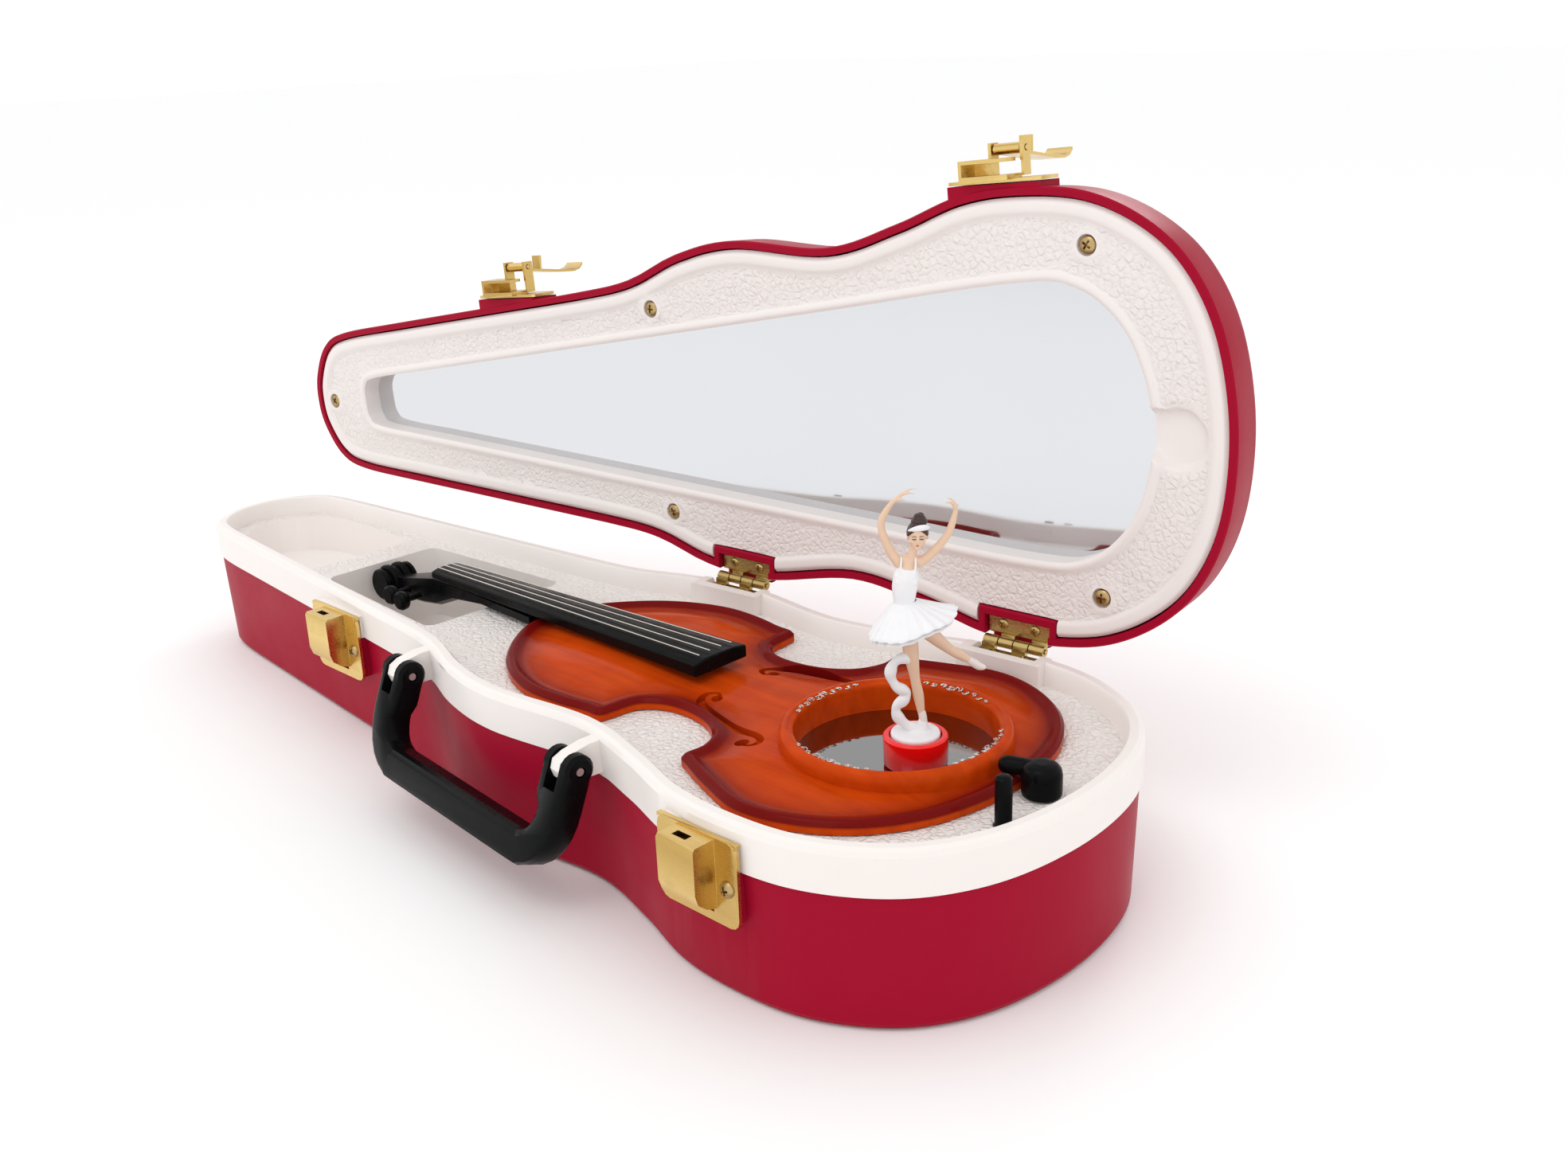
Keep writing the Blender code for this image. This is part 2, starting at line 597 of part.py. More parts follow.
def build_lid():
    """Red lid shell, cream liner and the long mirror, drawn closed then opened."""
    top = LID_RIM + LID_DEPTH
    bm = bmesh.new()
    rings = [
        level(inset(CASE, 1.9), top - WALL - 0.6),
        level(inset(CASE, 1.9), LID_RIM),
        level(inset(CASE, 0.3), LID_RIM),
        level(inset(CASE, 0.0), LID_RIM + 0.4),
        level(inset(CASE, 0.5), top - 3.6),
        level(inset(CASE, 1.2), top - 1.6),
        level(inset(CASE, 2.6), top - 0.4),
        level(inset(CASE, 4.2), top),
    ]
    tube_rings(bm, rings)
    shell = finish("lid_shell", bm, RED, 0.4)
    pads = []
    for x, y in zip(LATCH_PLACES, LATCH_FACE_Y):
        pads.append(wall_pad(x + LATCH_SHIFT, y + 1.05, 11.6, LID_RIM + 0.3, LID_RIM + 9.6, 0.9))
    for x, y in LINER_SCREWS:
        post = bmesh.new()
        turned(post, [(2.6, LINER_BACK + 0.3), (2.6, top - 1.0)], 16, (x, y))
        pads.append(cutter("post", post))
    combine(shell, pads, "UNION")
    cuts = []
    for x in HINGE_PLACES:
        gap = bmesh.new()
        half = HINGE_WIDTH / 2 + 0.4
        block(gap, (-half, -5.9, LID_RIM - 1.0), (half, 6.0, LID_RIM + 2.5))
        cuts.append(cutter("gap", gap, place=hinge_place(x)))
    for x, y in LINER_SCREWS:
        bore = bmesh.new()
        turned(bore, [(1.2, LINER_BACK - 1.0), (1.2, top - 2.6)], 12, (x, y))
        cuts.append(cutter("bore", bore))
    combine(shell, cuts, "DIFFERENCE")

    liner = bmesh.new()
    tube_rings(liner, [
        level(inset(CASE, 2.2), LINER_BACK),
        level(inset(CASE, 2.2), LID_RIM + 0.2),
        level(inset(CASE, 2.5), LID_RIM),
    ])
    liner = finish("lid_liner", liner, CREAM, 0.45)
    opening = symmetric(MIRROR_HALF, 3)
    window = prism(opening, LID_RIM - 2.0, LINER_BACK + 2.0)
    rebate = prism(inset(opening, -2.4), MIRROR_FACE - 0.3, LINER_BACK + 2.0)
    keyhole = bmesh.new()
    turned(keyhole, [(6.6, LID_RIM - 2.0), (6.6, LID_RIM + 3.0)], 24, (145.8, 1.8))
    cuts = [cutter("window", window), cutter("rebate", rebate), cutter("keyhole", keyhole)]
    for x in HINGE_PLACES:
        gap = bmesh.new()
        half = HINGE_WIDTH / 2 + 2.6
        block(gap, (-half, -8.2, LID_RIM - 2.0), (half, 6.0, LINER_BACK + 2.0))
        cuts.append(cutter("gap", gap, place=hinge_place(x)))
    for x, y in LINER_SCREWS:
        bore = bmesh.new()
        turned(bore, [(2.4, LID_RIM - 1.0), (2.4, LID_RIM + 0.9), (1.3, LID_RIM + 1.9), (1.3, 49.0)], 16, (x, y))
        cuts.append(cutter("bore", bore))
    combine(liner, cuts, "DIFFERENCE")

    mirror = prism(inset(opening, -2.1), MIRROR_FACE, MIRROR_FACE + 1.5)
    mirror = finish("lid_mirror", mirror, MIRROR, 0.03, 1.0)
    pieces = [shell, liner, mirror]
    for n, place in enumerate(LINER_SCREWS, start=1):
        screw = bmesh.new()
        turned(screw, [(1.7, LID_RIM + 0.35), (2.1, LID_RIM + 0.7), (1.0, LID_RIM + 1.7), (0.9, LINER_BACK + 2.4)],
               14, place)
        pieces.append(finish(f"lid_screw_{n}", screw, BRASS, 0.3, 1.0))
    for piece in pieces:
        piece.data.transform(to_metres(OPENED))
        set_origin(piece, AXIS_POINT)


# ---------------------------------------------------------------- latches
def build_keeper(n, x, y):
    """Stamped keeper on the base: a plate with a box that takes the latch's hook."""
    low = 17.6
    middle = (low + KEEPER_TOP) / 2
    plate = bmesh.new()
    outline = rounded_box(22.2, KEEPER_TOP - low, 2.4, 3)
    tube_rings(plate, [[(x + u, y + 0.9, middle + v) for u, v in outline],
                       [(x + u, y, middle + v) for u, v in outline]])
    keeper = finish(f"latch_keeper_{n}", plate, BRASS, 0.25, 1.0)
    box = bmesh.new()
    side = [(0.2, 20.6), (-2.6, 21.6), (-4.8, 23.4), (-5.5, 25.6), (-5.5, 34.9), (-5.0, 35.6), (0.2, 35.6)]
    tube_rings(box, [[(x + dx, y + v, z) for v, z in side] for dx in (-5.2, 5.2)])
    flange = bmesh.new()
    block(flange, (x - 11.1, y + 0.1, KEEPER_TOP - 0.8), (x + 11.1, y + 1.25, KEEPER_TOP))
    combine(keeper, [cutter("box", box), cutter("flange", flange)], "UNION")
    slot = bmesh.new()
    block(slot, (x + HOOK_SHIFT - 1.9, y - 3.6, 30.0), (x + HOOK_SHIFT + 1.9, y - 1.8, 37.0))
    hollow = bmesh.new()
    side = [(1.5, 22.4), (-1.8, 22.6), (-4.0, 24.2), (-4.8, 26.0), (-4.8, 34.6), (1.5, 34.6)]
    tube_rings(hollow, [[(x + dx, y + v, z) for v, z in side] for dx in (-4.5, 4.5)])
    mouth = bmesh.new()
    block(mouth, (x - 4.2, y - 3.0, 19.6), (x + 4.2, y + 2.0, 22.5))
    combine(keeper, [cutter("slot", slot), cutter("hollow", hollow), cutter("mouth", mouth)], "DIFFERENCE")


def build_lid_latch(n, x, y, out):
    """Plate with its housing and ears, a pin, and the lever that flips over the keeper."""
    xp = x + LATCH_SHIFT
    z0 = HOUSING_LOW
    plate = bmesh.new()
    outline = rounded_box(24.0, 8.6, 1.2, 3)
    tube_rings(plate, [[(xp + u, y + 0.75, z0 + 6.2 + v) for u, v in outline],
                       [(xp + u, y, z0 + 6.2 + v) for u, v in outline]])
    plate = finish(f"latch_plate_{n}", plate, BRASS, 0.25, 1.0)
    housing = bmesh.new()
    block(housing, (x - 10.2, y - 4.4, z0), (x + 2.2, y + 0.2, z0 + 6.4))
    ears = bmesh.new()
    block(ears, (x - 5.2, y - out - 1.5, LEVER_PIVOT_Z - 1.5), (x + 3.6, y - 0.4, LEVER_PIVOT_Z + 1.6))
    combine(plate, [cutter("housing", housing), cutter("ears", ears)], "UNION")
    inner = bmesh.new()
    block(inner, (x - 4.4, y - out - 2.8, LEVER_PIVOT_Z - 2.4), (x + 2.8, y - 0.9, LEVER_PIVOT_Z + 2.4))
    hollow = bmesh.new()
    block(hollow, (x - 9.4, y - 3.6, z0 - 1.0), (x + 3.0, y - 0.9, z0 + 5.6))
    bore = bmesh.new()
    turned(bore, [(0.75, -9.0), (0.75, 9.0)], 16)
    pivot = (x + HOOK_SHIFT, y - out, LEVER_PIVOT_Z)
    cuts = [cutter("inner", inner), cutter("hollow", hollow), cutter("bore", bore, place=along_x(*pivot))]
    combine(plate, cuts, "DIFFERENCE")

    pin = bmesh.new()
    turned(pin, [(0.6, -4.6), (0.6, 4.6)], 12)
    pin = finish(f"latch_pin_{n}", pin, BRASS, 0.3, 1.0, place=along_x(*pivot))

    # the lever is drawn hanging down, closed, then flipped open about its pin
    lever = bmesh.new()
    spine = [(0.2, 0.6), (0.45, -2.0), (0.75, -8.0), (1.0, -14.0), (0.9, -19.0), (0.2, -21.2), (-1.0, -22.4)]
    thick = 0.7
    strip = [(-v, z) for v, z in spine] + [(-v - thick, z) for v, z in reversed(spine)]
    tube_rings(lever, [[(dx, v, z) for v, z in strip] for dx in (-3.3, 3.3)])
    lever = finish(f"latch_lever_{n}", lever, BRASS, 0.25, 1.0)
    barrel = bmesh.new()
    turned(barrel, [(1.25, -3.3), (1.25, 3.3)], 16)
    tab = bmesh.new()
    block(tab, (-1.6, -0.9, -HOOK_RADIUS - 0.35), (1.6, 3.2, -HOOK_RADIUS + 0.35))
    combine(lever, [cutter("barrel", barrel, place=along_x()), cutter("tab", tab)], "UNION")
    bore = bmesh.new()
    turned(bore, [(0.72, -9.0), (0.72, 9.0)], 12)
    combine(lever, [cutter("bore", bore, place=along_x())], "DIFFERENCE")
    swing = Matrix.Translation(pivot) @ Matrix.Rotation(-LEVER_OPEN, 4, "X")
    lever.data.transform(to_metres(swing))
    for piece in (plate, pin, lever):
        piece.data.transform(to_metres(OPENED))
    for piece in (plate, pin):
        set_origin(piece, AXIS_POINT)
    set_origin(lever, OPENED @ Vector(pivot))


def build_latches():
    """Both latches, each with its keeper on the base."""
    for n in (0, 1):
        build_keeper(n + 1, LATCH_PLACES[n], KEEPER_FACE_Y[n])
        build_lid_latch(n + 1, LATCH_PLACES[n], LATCH_FACE_Y[n], LEVER_OUT[n])


# ---------------------------------------------------------------- violin
def build_violin():
    """Violin body, dance-floor ring and mirror, neck, scroll, pegs and strings."""
    outline = symmetric(VIOLIN_HALF, 2)
    base = TRAY_FLOOR + GAP
    bm = bmesh.new()
    rings = [
        level(inset(outline, 0.5), base),
        level(outline, base + 0.4),
        level(outline, base + VIOLIN_SIDE - 0.5),
        level(inset(outline, 0.5), base + VIOLIN_SIDE),
    ]
    tube_rings(bm, rings)
    body = finish("violin_body", bm, ORANGE, 0.12)
    cuts = []
    well = bmesh.new()
    turned(well, [(RING_OUTER + 0.3, 30.0), (RING_OUTER + 0.3, 40.0)], 48, DISH)
    cuts.append(cutter("well", well))
    for side in (-1, 1):
        slit = [(64.0, 6.2), (66.0, 7.4), (67.0, 10.5), (72.0, 13.2), (81.0, 15.2), (86.5, 17.0), (87.6, 20.4),
                (85.4, 20.2), (84.2, 18.2), (78.0, 16.6), (70.0, 14.8), (65.6, 12.0), (64.2, 8.6)]
        slit = [(x, side * y) for x, y in slit]
        if side < 0:
            slit.reverse()
        cuts.append(cutter("f_hole", prism(slit, base + 1.0, 40.0)))
    combine(body, cuts, "DIFFERENCE")

    ring = bmesh.new()
    closed_profile(ring, [level(circle(*DISH, r, 48), z) for r, z in (
        (RING_OUTER, 32.9), (RING_OUTER, RING_TOP - 0.9), (RING_OUTER - 0.5, RING_TOP - 0.2),
        (RING_OUTER - 1.3, RING_TOP), (RING_INNER + 0.5, RING_TOP - 0.2), (RING_INNER, RING_TOP - 0.9),
        (RING_INNER, FLOOR_TOP + 0.3), (RING_INNER + 1.6, FLOOR_TOP + 0.3), (RING_INNER + 1.6, 32.9))])
    finish("dance_floor_ring", ring, ORANGE, 0.12)
    disc = bmesh.new()
    turned(disc, [(RING_INNER + 1.3, 32.9), (RING_INNER + 1.3, FLOOR_TOP)], 48, DISH)
    finish("dance_floor_mirror", disc, (0.30, 0.29, 0.28), 0.05, 1.0)

    board = bmesh.new()
    nut, end = -53.0, 59.0
    sections = []
    for x, half, top, under in ((nut, 4.7, 40.5, 37.9), (-8.0, 6.1, 41.5, 38.2), (end, 8.3, 43.0, 39.2)):
        sections.append([(x, -half, under), (x, half, under), (x, half, top - 0.7), (x, half * 0.55, top - 0.1),
                         (x, 0.0, top), (x, -half * 0.55, top - 0.1), (x, -half, top - 0.7)])
    tube_rings(board, sections)
    finish("fingerboard", board, BLACK, 0.25)
    for n, share in enumerate((-0.62, -0.21, 0.21, 0.62), start=1):
        string = bmesh.new()
        ends = []
        for x, half, top in ((nut + 1.0, 4.7, 40.5), (end - 2.0, 8.3, 43.0)):
            y = share * half
            z = top - (0.2 if abs(share) > 0.5 else 0.05) + 0.55
            ends.append([(x, y + 0.22 * math.cos(a), z + 0.22 * math.sin(a)) for a in
                         [k * math.pi / 4 for k in range(8)]])
        tube_rings(string, ends)
        finish(f"string_{n}", string, (0.75, 0.75, 0.77), 0.25, 1.0)

    neck = bmesh.new()
    sections = []
    for x, half, top, under in ((-79.0, 1.7, 32.0, 27.6), (-73.0, 2.4, 33.0, 27.0), (-62.0, 3.6, 35.6, 28.0), (-53.0, 4.2, 37.6, 29.5),
                                (-44.0, 4.4, 37.6, 33.0), (-30.5, 4.8, 37.6, 34.6), (-7.0, 6.0, 37.6, 34.6)):
        sections.append([(x, -half, under + 1.0), (x, -half * 0.6, under), (x, half * 0.6, under),
                         (x, half, under + 1.0), (x, half, top), (x, -half, top)])
    tube_rings(neck, sections)
    neck = finish("neck_and_scroll", neck, BLACK, 0.3)
    lobes = []
    for y0, y1, radius in ((-5.2, -3.6, 4.6), (-3.8, -2.6, 4.0), (-2.8, -0.9, 5.2), (-1.1, 1.1, 4.2), (0.9, 2.8, 5.2),
                           (2.6, 3.8, 4.0), (3.6, 5.2, 4.6)):
        lobe = bmesh.new()
        turned(lobe, [(radius - 0.5, -y1), (radius, -y1 + 0.4), (radius, -y0 - 0.4), (radius - 0.5, -y0)], 20)
        lobes.append(cutter("lobe", lobe, place=along_y(-80.2, 0.0, 30.0)))
    combine(neck, lobes, "UNION")
    for n, (x, side) in enumerate(((-67.0, -1), (-60.4, 1), (-67.0, 1), (-60.4, -1)), start=1):
        start = 4.3 if x > -62 else 3.5
        peg = bmesh.new()
        turned(peg, [(1.0, start), (0.9, start + 4.0), (1.6, start + 4.3), (2.6, start + 5.2), (2.8, start + 6.6),
                     (2.2, start + 7.6)], 14)
        turn = along_y(x, 0.0, 31.2)
        if side > 0:
            turn = turn @ Matrix.Rotation(math.pi, 4, "X")
        finish(f"tuning_peg_{n}", peg, BLACK, 0.3, place=turn)

    clamp = bmesh.new()
    turned(clamp, [(4.0, TRAY_FLOOR + GAP), (4.0, 40.5), (3.4, 41.3), (1.8, 41.6)], 20, (147.5, 3.0))
    clamp = finish("tail_clamp", clamp, BLACK, 0.2)
    arm = bmesh.new()
    tube_rings(arm, [level(rounded_at(142.2, 1.6, 9.0, 6.8, 2.4), VIOLIN_TOP + 0.4),
                     level(rounded_at(142.2, 1.6, 9.0, 6.8, 2.4), 40.2),
                     level(rounded_at(142.2, 1.6, 7.6, 5.4, 2.0), 41.0)])
    combine(clamp, [cutter("arm", arm)], "UNION")


# ---------------------------------------------------------------- dancer
def figure_centre():
    """Where the pedestal stands on the dance floor."""
    return (DISH[0] + ORBIT * math.cos(FIGURE_ANGLE), DISH[1] + ORBIT * math.sin(FIGURE_ANGLE))


def limb(bm, points, count=10):
    """Round limb through (x, y, z, radius) points."""
    rings = []
    for i, (x, y, z, r) in enumerate(points):
        a = Vector(points[max(i - 1, 0)][:3])
        b = Vector(points[min(i + 1, len(points) - 1)][:3])
        along = (b - a).normalized()
        side = along.cross(Vector((0.0, 1.0, 0.3))).normalized()
        other = along.cross(side)
        rings.append([Vector((x, y, z)) + side * (r * math.cos(k * 2 * math.pi / count))
                      + other * (r * math.sin(k * 2 * math.pi / count)) for k in range(count)])
    tube_rings(bm, rings)


def build_dancer():
    """Red pedestal with its magnet, and the dancer who plugs into it."""
    cx, cy = figure_centre()
    base = FLOOR_TOP + GAP
    cup = bmesh.new()
    turned(cup, [(6.4, base), (6.7, base + 0.4), (6.8, base + 6.2), (6.5, base + 6.6), (5.5, base + 6.6),
                 (5.4, base + 5.0)], 32, (cx, cy))
    cup = finish("pedestal", cup, BRIGHT_RED, 0.2)
    seat = bmesh.new()
    turned(seat, [(4.4, base - 1.0), (4.4, base + 3.0)], 24, (cx, cy))
    combine(cup, [cutter("seat", seat)], "DIFFERENCE")
    set_origin(cup, (*DISH, FLOOR_TOP))
    magnet = bmesh.new()
    turned(magnet, [(4.1, base + 0.3), (4.1, base + 2.7)], 24, (cx, cy))
    set_origin(finish("pedestal_magnet", magnet, STEEL, 0.3, 1.0), (*DISH, FLOOR_TOP))

    foot = base + 5.0 + GAP
    # the dancer is drawn facing -Y at the origin, standing on z = 0
    figure = bmesh.new()
    turned(figure, [(5.0, 0.0), (5.0, 1.8), (1.6, 2.1), (1.3, 3.2)], 20)
    figure = finish("ballerina", figure, WHITE, 0.45)
    parts = []

    def add(points, count=10):
        bm = bmesh.new()
        limb(bm, points, count)
        parts.append(cutter("limb", bm))

    add([(1.5, 0.0, 1.6, 1.2), (0.9, 0.0, 6.0, 1.0), (-0.2, 0.2, 13.0, 1.5), (-1.0, 0.4, 19.0, 1.9),
         (-1.6, 0.6, 27.0, 2.2)])
    add([(-0.6, 0.5, 26.5, 2.2), (4.6, 2.0, 20.0, 1.6), (8.4, 3.2, 16.2, 1.2), (12.6, 4.6, 13.0, 0.9)])
    add([(-1.6, 0.3, 23.0, 2.0), (-1.8, 0.3, 29.5, 2.3), (-2.0, 0.1, 33.5, 3.1), (-1.6, 0.0, 37.0, 2.6),
         (-0.9, 0.0, 39.0, 1.1), (-0.4, 0.0, 41.0, 1.05)])
    add([(-0.4, 0.0, 40.0, 1.2), (-0.2, -0.2, 41.6, 2.3), (0.0, 0.0, 44.0, 2.7), (0.5, 0.4, 46.4, 2.0),
         (0.9, 0.6, 47.4, 0.9)], 12)
    add([(-3.2, 0.0, 36.6, 1.2), (-5.0, -0.4, 41.0, 1.0), (-6.2, -0.8, 45.0, 0.9), (-4.0, -1.4, 49.4, 0.8),
         (-1.0, -2.0, 52.8, 0.5)])
    add([(0.6, 0.0, 36.4, 1.2), (4.2, -0.2, 39.6, 1.0), (7.0, -0.6, 43.6, 0.9), (8.2, -1.2, 49.0, 0.6)])
    add([(-3.4, -0.6, 0.9, 1.0), (-2.4, -0.6, 5.4, 1.0), (-3.6, -0.4, 8.4, 1.0), (-2.2, 0.0, 11.6, 1.0),
         (-1.4, 0.2, 14.6, 0.8)], 8)
    skirt = bmesh.new()
    lower, upper = [], []
    for k in range(24):
        a = k * 2.0 * math.pi / 24
        wave = 0.5 * math.cos(6 * a)
        lower.append((-0.5 + (9.0 + wave) * math.cos(a), (8.0 + wave) * math.sin(a), 22.2 + 2.6 * math.cos(a)))
        upper.append((-1.8 + 2.4 * math.cos(a), 2.2 * math.sin(a), 29.0))
    under = [(x, y, z - 0.9) for x, y, z in lower]
    tube_rings(skirt, [[(-1.6 + 1.0 * math.cos(k * math.pi / 12), math.sin(k * math.pi / 12), 26.0) for k in range(24)],
                       under, lower, upper])
    parts.append(cutter("skirt", skirt))
    combine(figure, parts, "UNION")
    facing = Matrix.Translation((cx, cy, foot)) @ Matrix.Rotation(math.radians(42.0), 4, "Z")
    figure.data.transform(to_metres(facing))
    set_origin(figure, (cx, cy, foot))


# ---------------------------------------------------------------- music movement
def build_movement():
    """Wind-up movement under the tray, with the magnet arm and the winding key."""
    kx, ky = KEY_CENTRE
    plate = bmesh.new()
    block(plate, (66.0, -24.0, 12.4), (132.0, 24.0, 13.9))
    plate = finish("movement_bedplate", plate, STEEL, 0.4, 1.0)
    adds = []
    for y in (-16.5, 16.5):
        stand = bmesh.new()
        block(stand, (100.0, y - 1.0, 13.5), (107.0, y + 1.0, 25.0))
        adds.append(cutter("stand", stand))
    comb_seat = bmesh.new()
    block(comb_seat, (120.0, -13.0, 13.5), (126.0, 13.0, 21.0))
    adds.append(cutter("comb_seat", comb_seat))
    post = bmesh.new()
    block(post, (DISH[0] - 3.0, 18.4, 13.5), (DISH[0] + 3.0, 20.6, 26.3))
    adds.append(cutter("post", post))
    bridge = bmesh.new()
    block(bridge, (DISH[0] - 2.9, -3.0, 25.5), (DISH[0] + 2.9, 20.5, 26.9))
    adds.append(cutter("bridge", bridge))
    combine(plate, adds, "UNION")
    cuts = []
    for (x, y), radius, z0, z1 in (((kx, ky), 2.2, 10.0, 16.0), ((138.0, -30.0), 1.0, 10.0, 16.0),
                                   (DISH, 1.6, 24.0, 29.0)):
        bore = bmesh.new()
        turned(bore, [(radius, z0), (radius, z1)], 16, (x, y))
        cuts.append(cutter("bore", bore))
    axle = bmesh.new()
    turned(axle, [(1.1, -30.0), (1.1, 30.0)], 16)
    cuts.append(cutter("axle", axle, place=along_y(103.5, 0.0, 19.6)))
    combine(plate, cuts, "DIFFERENCE")

    barrel = bmesh.new()
    turned(barrel, [(1.8, 8.6), (1.8, 14.6), (12.6, 14.6), (13.0, 15.0), (13.0, 24.4), (12.4, 25.0)], 32, (kx, ky))
    set_origin(finish("spring_barrel", barrel, BRASS, 0.3, 1.0), (kx, ky, 14.6))
    key = bmesh.new()
    turned(key, [(5.2, 5.2), (5.2, 8.3)], 24, (kx, ky))
    key = finish("winding_key", key, BRASS, 0.3, 1.0)
    wing = bmesh.new()
    block(wing, (kx - 9.0, ky - 1.1, 2.4), (kx + 9.0, ky + 1.1, 7.4))
    combine(key, [cutter("wing", wing)], "UNION")
    set_origin(key, (kx, ky, 8.3))

    cylinder = bmesh.new()
    turned(cylinder, [(0.9, -18.2), (0.9, -14.6), (5.3, -14.6), (5.3, -13.2), (4.7, -13.2), (4.7, 13.8), (0.9, 13.8),
                      (0.9, 18.2)], 24)
    cylinder = finish("music_cylinder", cylinder, BRASS, 0.25, 1.0, place=along_y(103.5, 0.0, 19.6))
    studs = []
    for n in range(18):
        stud = bmesh.new()
        angle = n * 2.399963
        y = -11.8 + n * 1.389
        block(stud, (-0.2, -0.2, 4.4), (0.2, 0.2, 5.25))
        place = Matrix.Translation((103.5, y, 19.6)) @ Matrix.Rotation(angle, 4, "Y")
        studs.append(cutter("stud", stud, place=place))
    combine(cylinder, studs, "UNION")
    set_origin(cylinder, (103.5, 0.0, 19.6))

    comb = bmesh.new()
    teeth = 18
    pitch = 25.0 / teeth
    outline = [(126.0, -12.9), (126.0, 12.9), (119.0, 12.9)]
    for n in reversed(range(teeth)):
        y = -12.5 + (n + 0.5) * pitch
        tip = 109.2
        outline += [(119.0, y + 0.45), (tip, y + 0.4), (tip, y - 0.4), (119.0, y - 0.45)]
    outline.append((119.0, -12.9))
    comb = finish("music_comb", prism(outline, 21.3, 22.2), STEEL, 0.25, 1.0)

    governor = bmesh.new()
    turned(governor, [(0.7, 14.4), (0.7, 22.0), (3.6, 22.0), (3.6, 22.8), (0.7, 22.8), (0.7, 24.0)], 16, GOVERNOR)
    governor = finish("governor_fan", governor, STEEL, 0.3, 1.0)
    vane = bmesh.new()
    gx, gy = GOVERNOR
    block(vane, (gx - 4.8, gy - 0.25, 16.0), (gx + 4.8, gy + 0.25, 20.5))
    combine(governor, [cutter("vane", vane)], "UNION")
    set_origin(governor, (*GOVERNOR, 14.4))

    arm = bmesh.new()
    turned(arm, [(1.3, 23.0), (1.3, 27.4), (3.2, 27.4), (3.2, 28.6)], 20, DISH)
    arm = finish("magnet_arm", arm, BRASS, 0.3, 1.0)
    cx, cy = figure_centre()
    seat = bmesh.new()
    turned(seat, [(4.6, 27.5), (4.6, 28.6)], 24, (cx, cy))
    combine(arm, [cutter("seat", seat)], "UNION")
    set_origin(arm, (*DISH, 27.4))
    magnet = bmesh.new()
    turned(magnet, [(4.2, 28.9), (4.2, 31.2)], 24, (cx, cy))
    set_origin(finish("drive_magnet", magnet, STEEL, 0.3, 1.0), (*DISH, 27.4))


GOVERNOR = (126.5, -18.8)


def build_stop():
    """Stop pin that the closed lid presses, its spring and its brake wire."""
    x, y = STOP_PIN
    pin = bmesh.new()
    turned(pin, [(STOP_RADIUS, 19.5), (STOP_RADIUS, 24.2), (3.0, 24.2), (3.0, 25.2), (STOP_RADIUS, 25.2),
                 (STOP_RADIUS, STOP_TOP - 0.6), (STOP_RADIUS - 0.5, STOP_TOP - 0.1), (0.5, STOP_TOP)], 20, STOP_PIN)
    pin = finish("stop_pin", pin, BLACK, 0.3)
    gx, gy = GOVERNOR
    wire = bmesh.new()
    tip = Vector((gx + 2.6, gy + 1.2, 28.8))
    start = Vector((x, y, 24.7))
    mid = Vector((x - 7.0, y - 3.0, 28.8))
    limb(wire, [(*start, 0.4), (*mid, 0.4), (*tip, 0.4)], 8)
    combine(pin, [cutter("wire", wire)], "UNION")
    set_origin(pin, (x, y, STOP_TOP))

    spring = bmesh.new()
    turns, steps = 5, 9
    low, high = 8.0, 23.8
    points = []
    for k in range(turns * steps + 1):
        a = 2.0 * math.pi * k / steps
        z = low + (high - low) * k / (turns * steps)
        points.append(Vector((x + 2.3 * math.cos(a), y + 2.3 * math.sin(a), z)))
    rings = []
    for i, p in enumerate(points):
        ahead = (points[min(i + 1, len(points) - 1)] - points[max(i - 1, 0)]).normalized()
        out = (p - Vector((x, y, p.z))).normalized()
        up = ahead.cross(out)
        rings.append([p + (out * math.cos(t) + up * math.sin(t)) * 0.3 for t in
                      [k * math.pi / 3 for k in range(6)]])
    tube_rings(spring, rings)
    finish("stop_spring", spring, STEEL, 0.3, 1.0)


def main():
    """Build every node."""
    clear_scene()
    build_shell()
    build_feet()
    build_tray()
    build_handle()
    build_hinges()
    build_lid()
    build_latches()
    build_violin()
    build_dancer()
    build_movement()
    build_stop()


main()
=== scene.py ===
import json
import math

import bmesh
import bpy
import numpy as np
from mathutils import Matrix, Vector
from mathutils.bvhtree import BVHTree
from mathutils.geometry import delaunay_2d_cdt

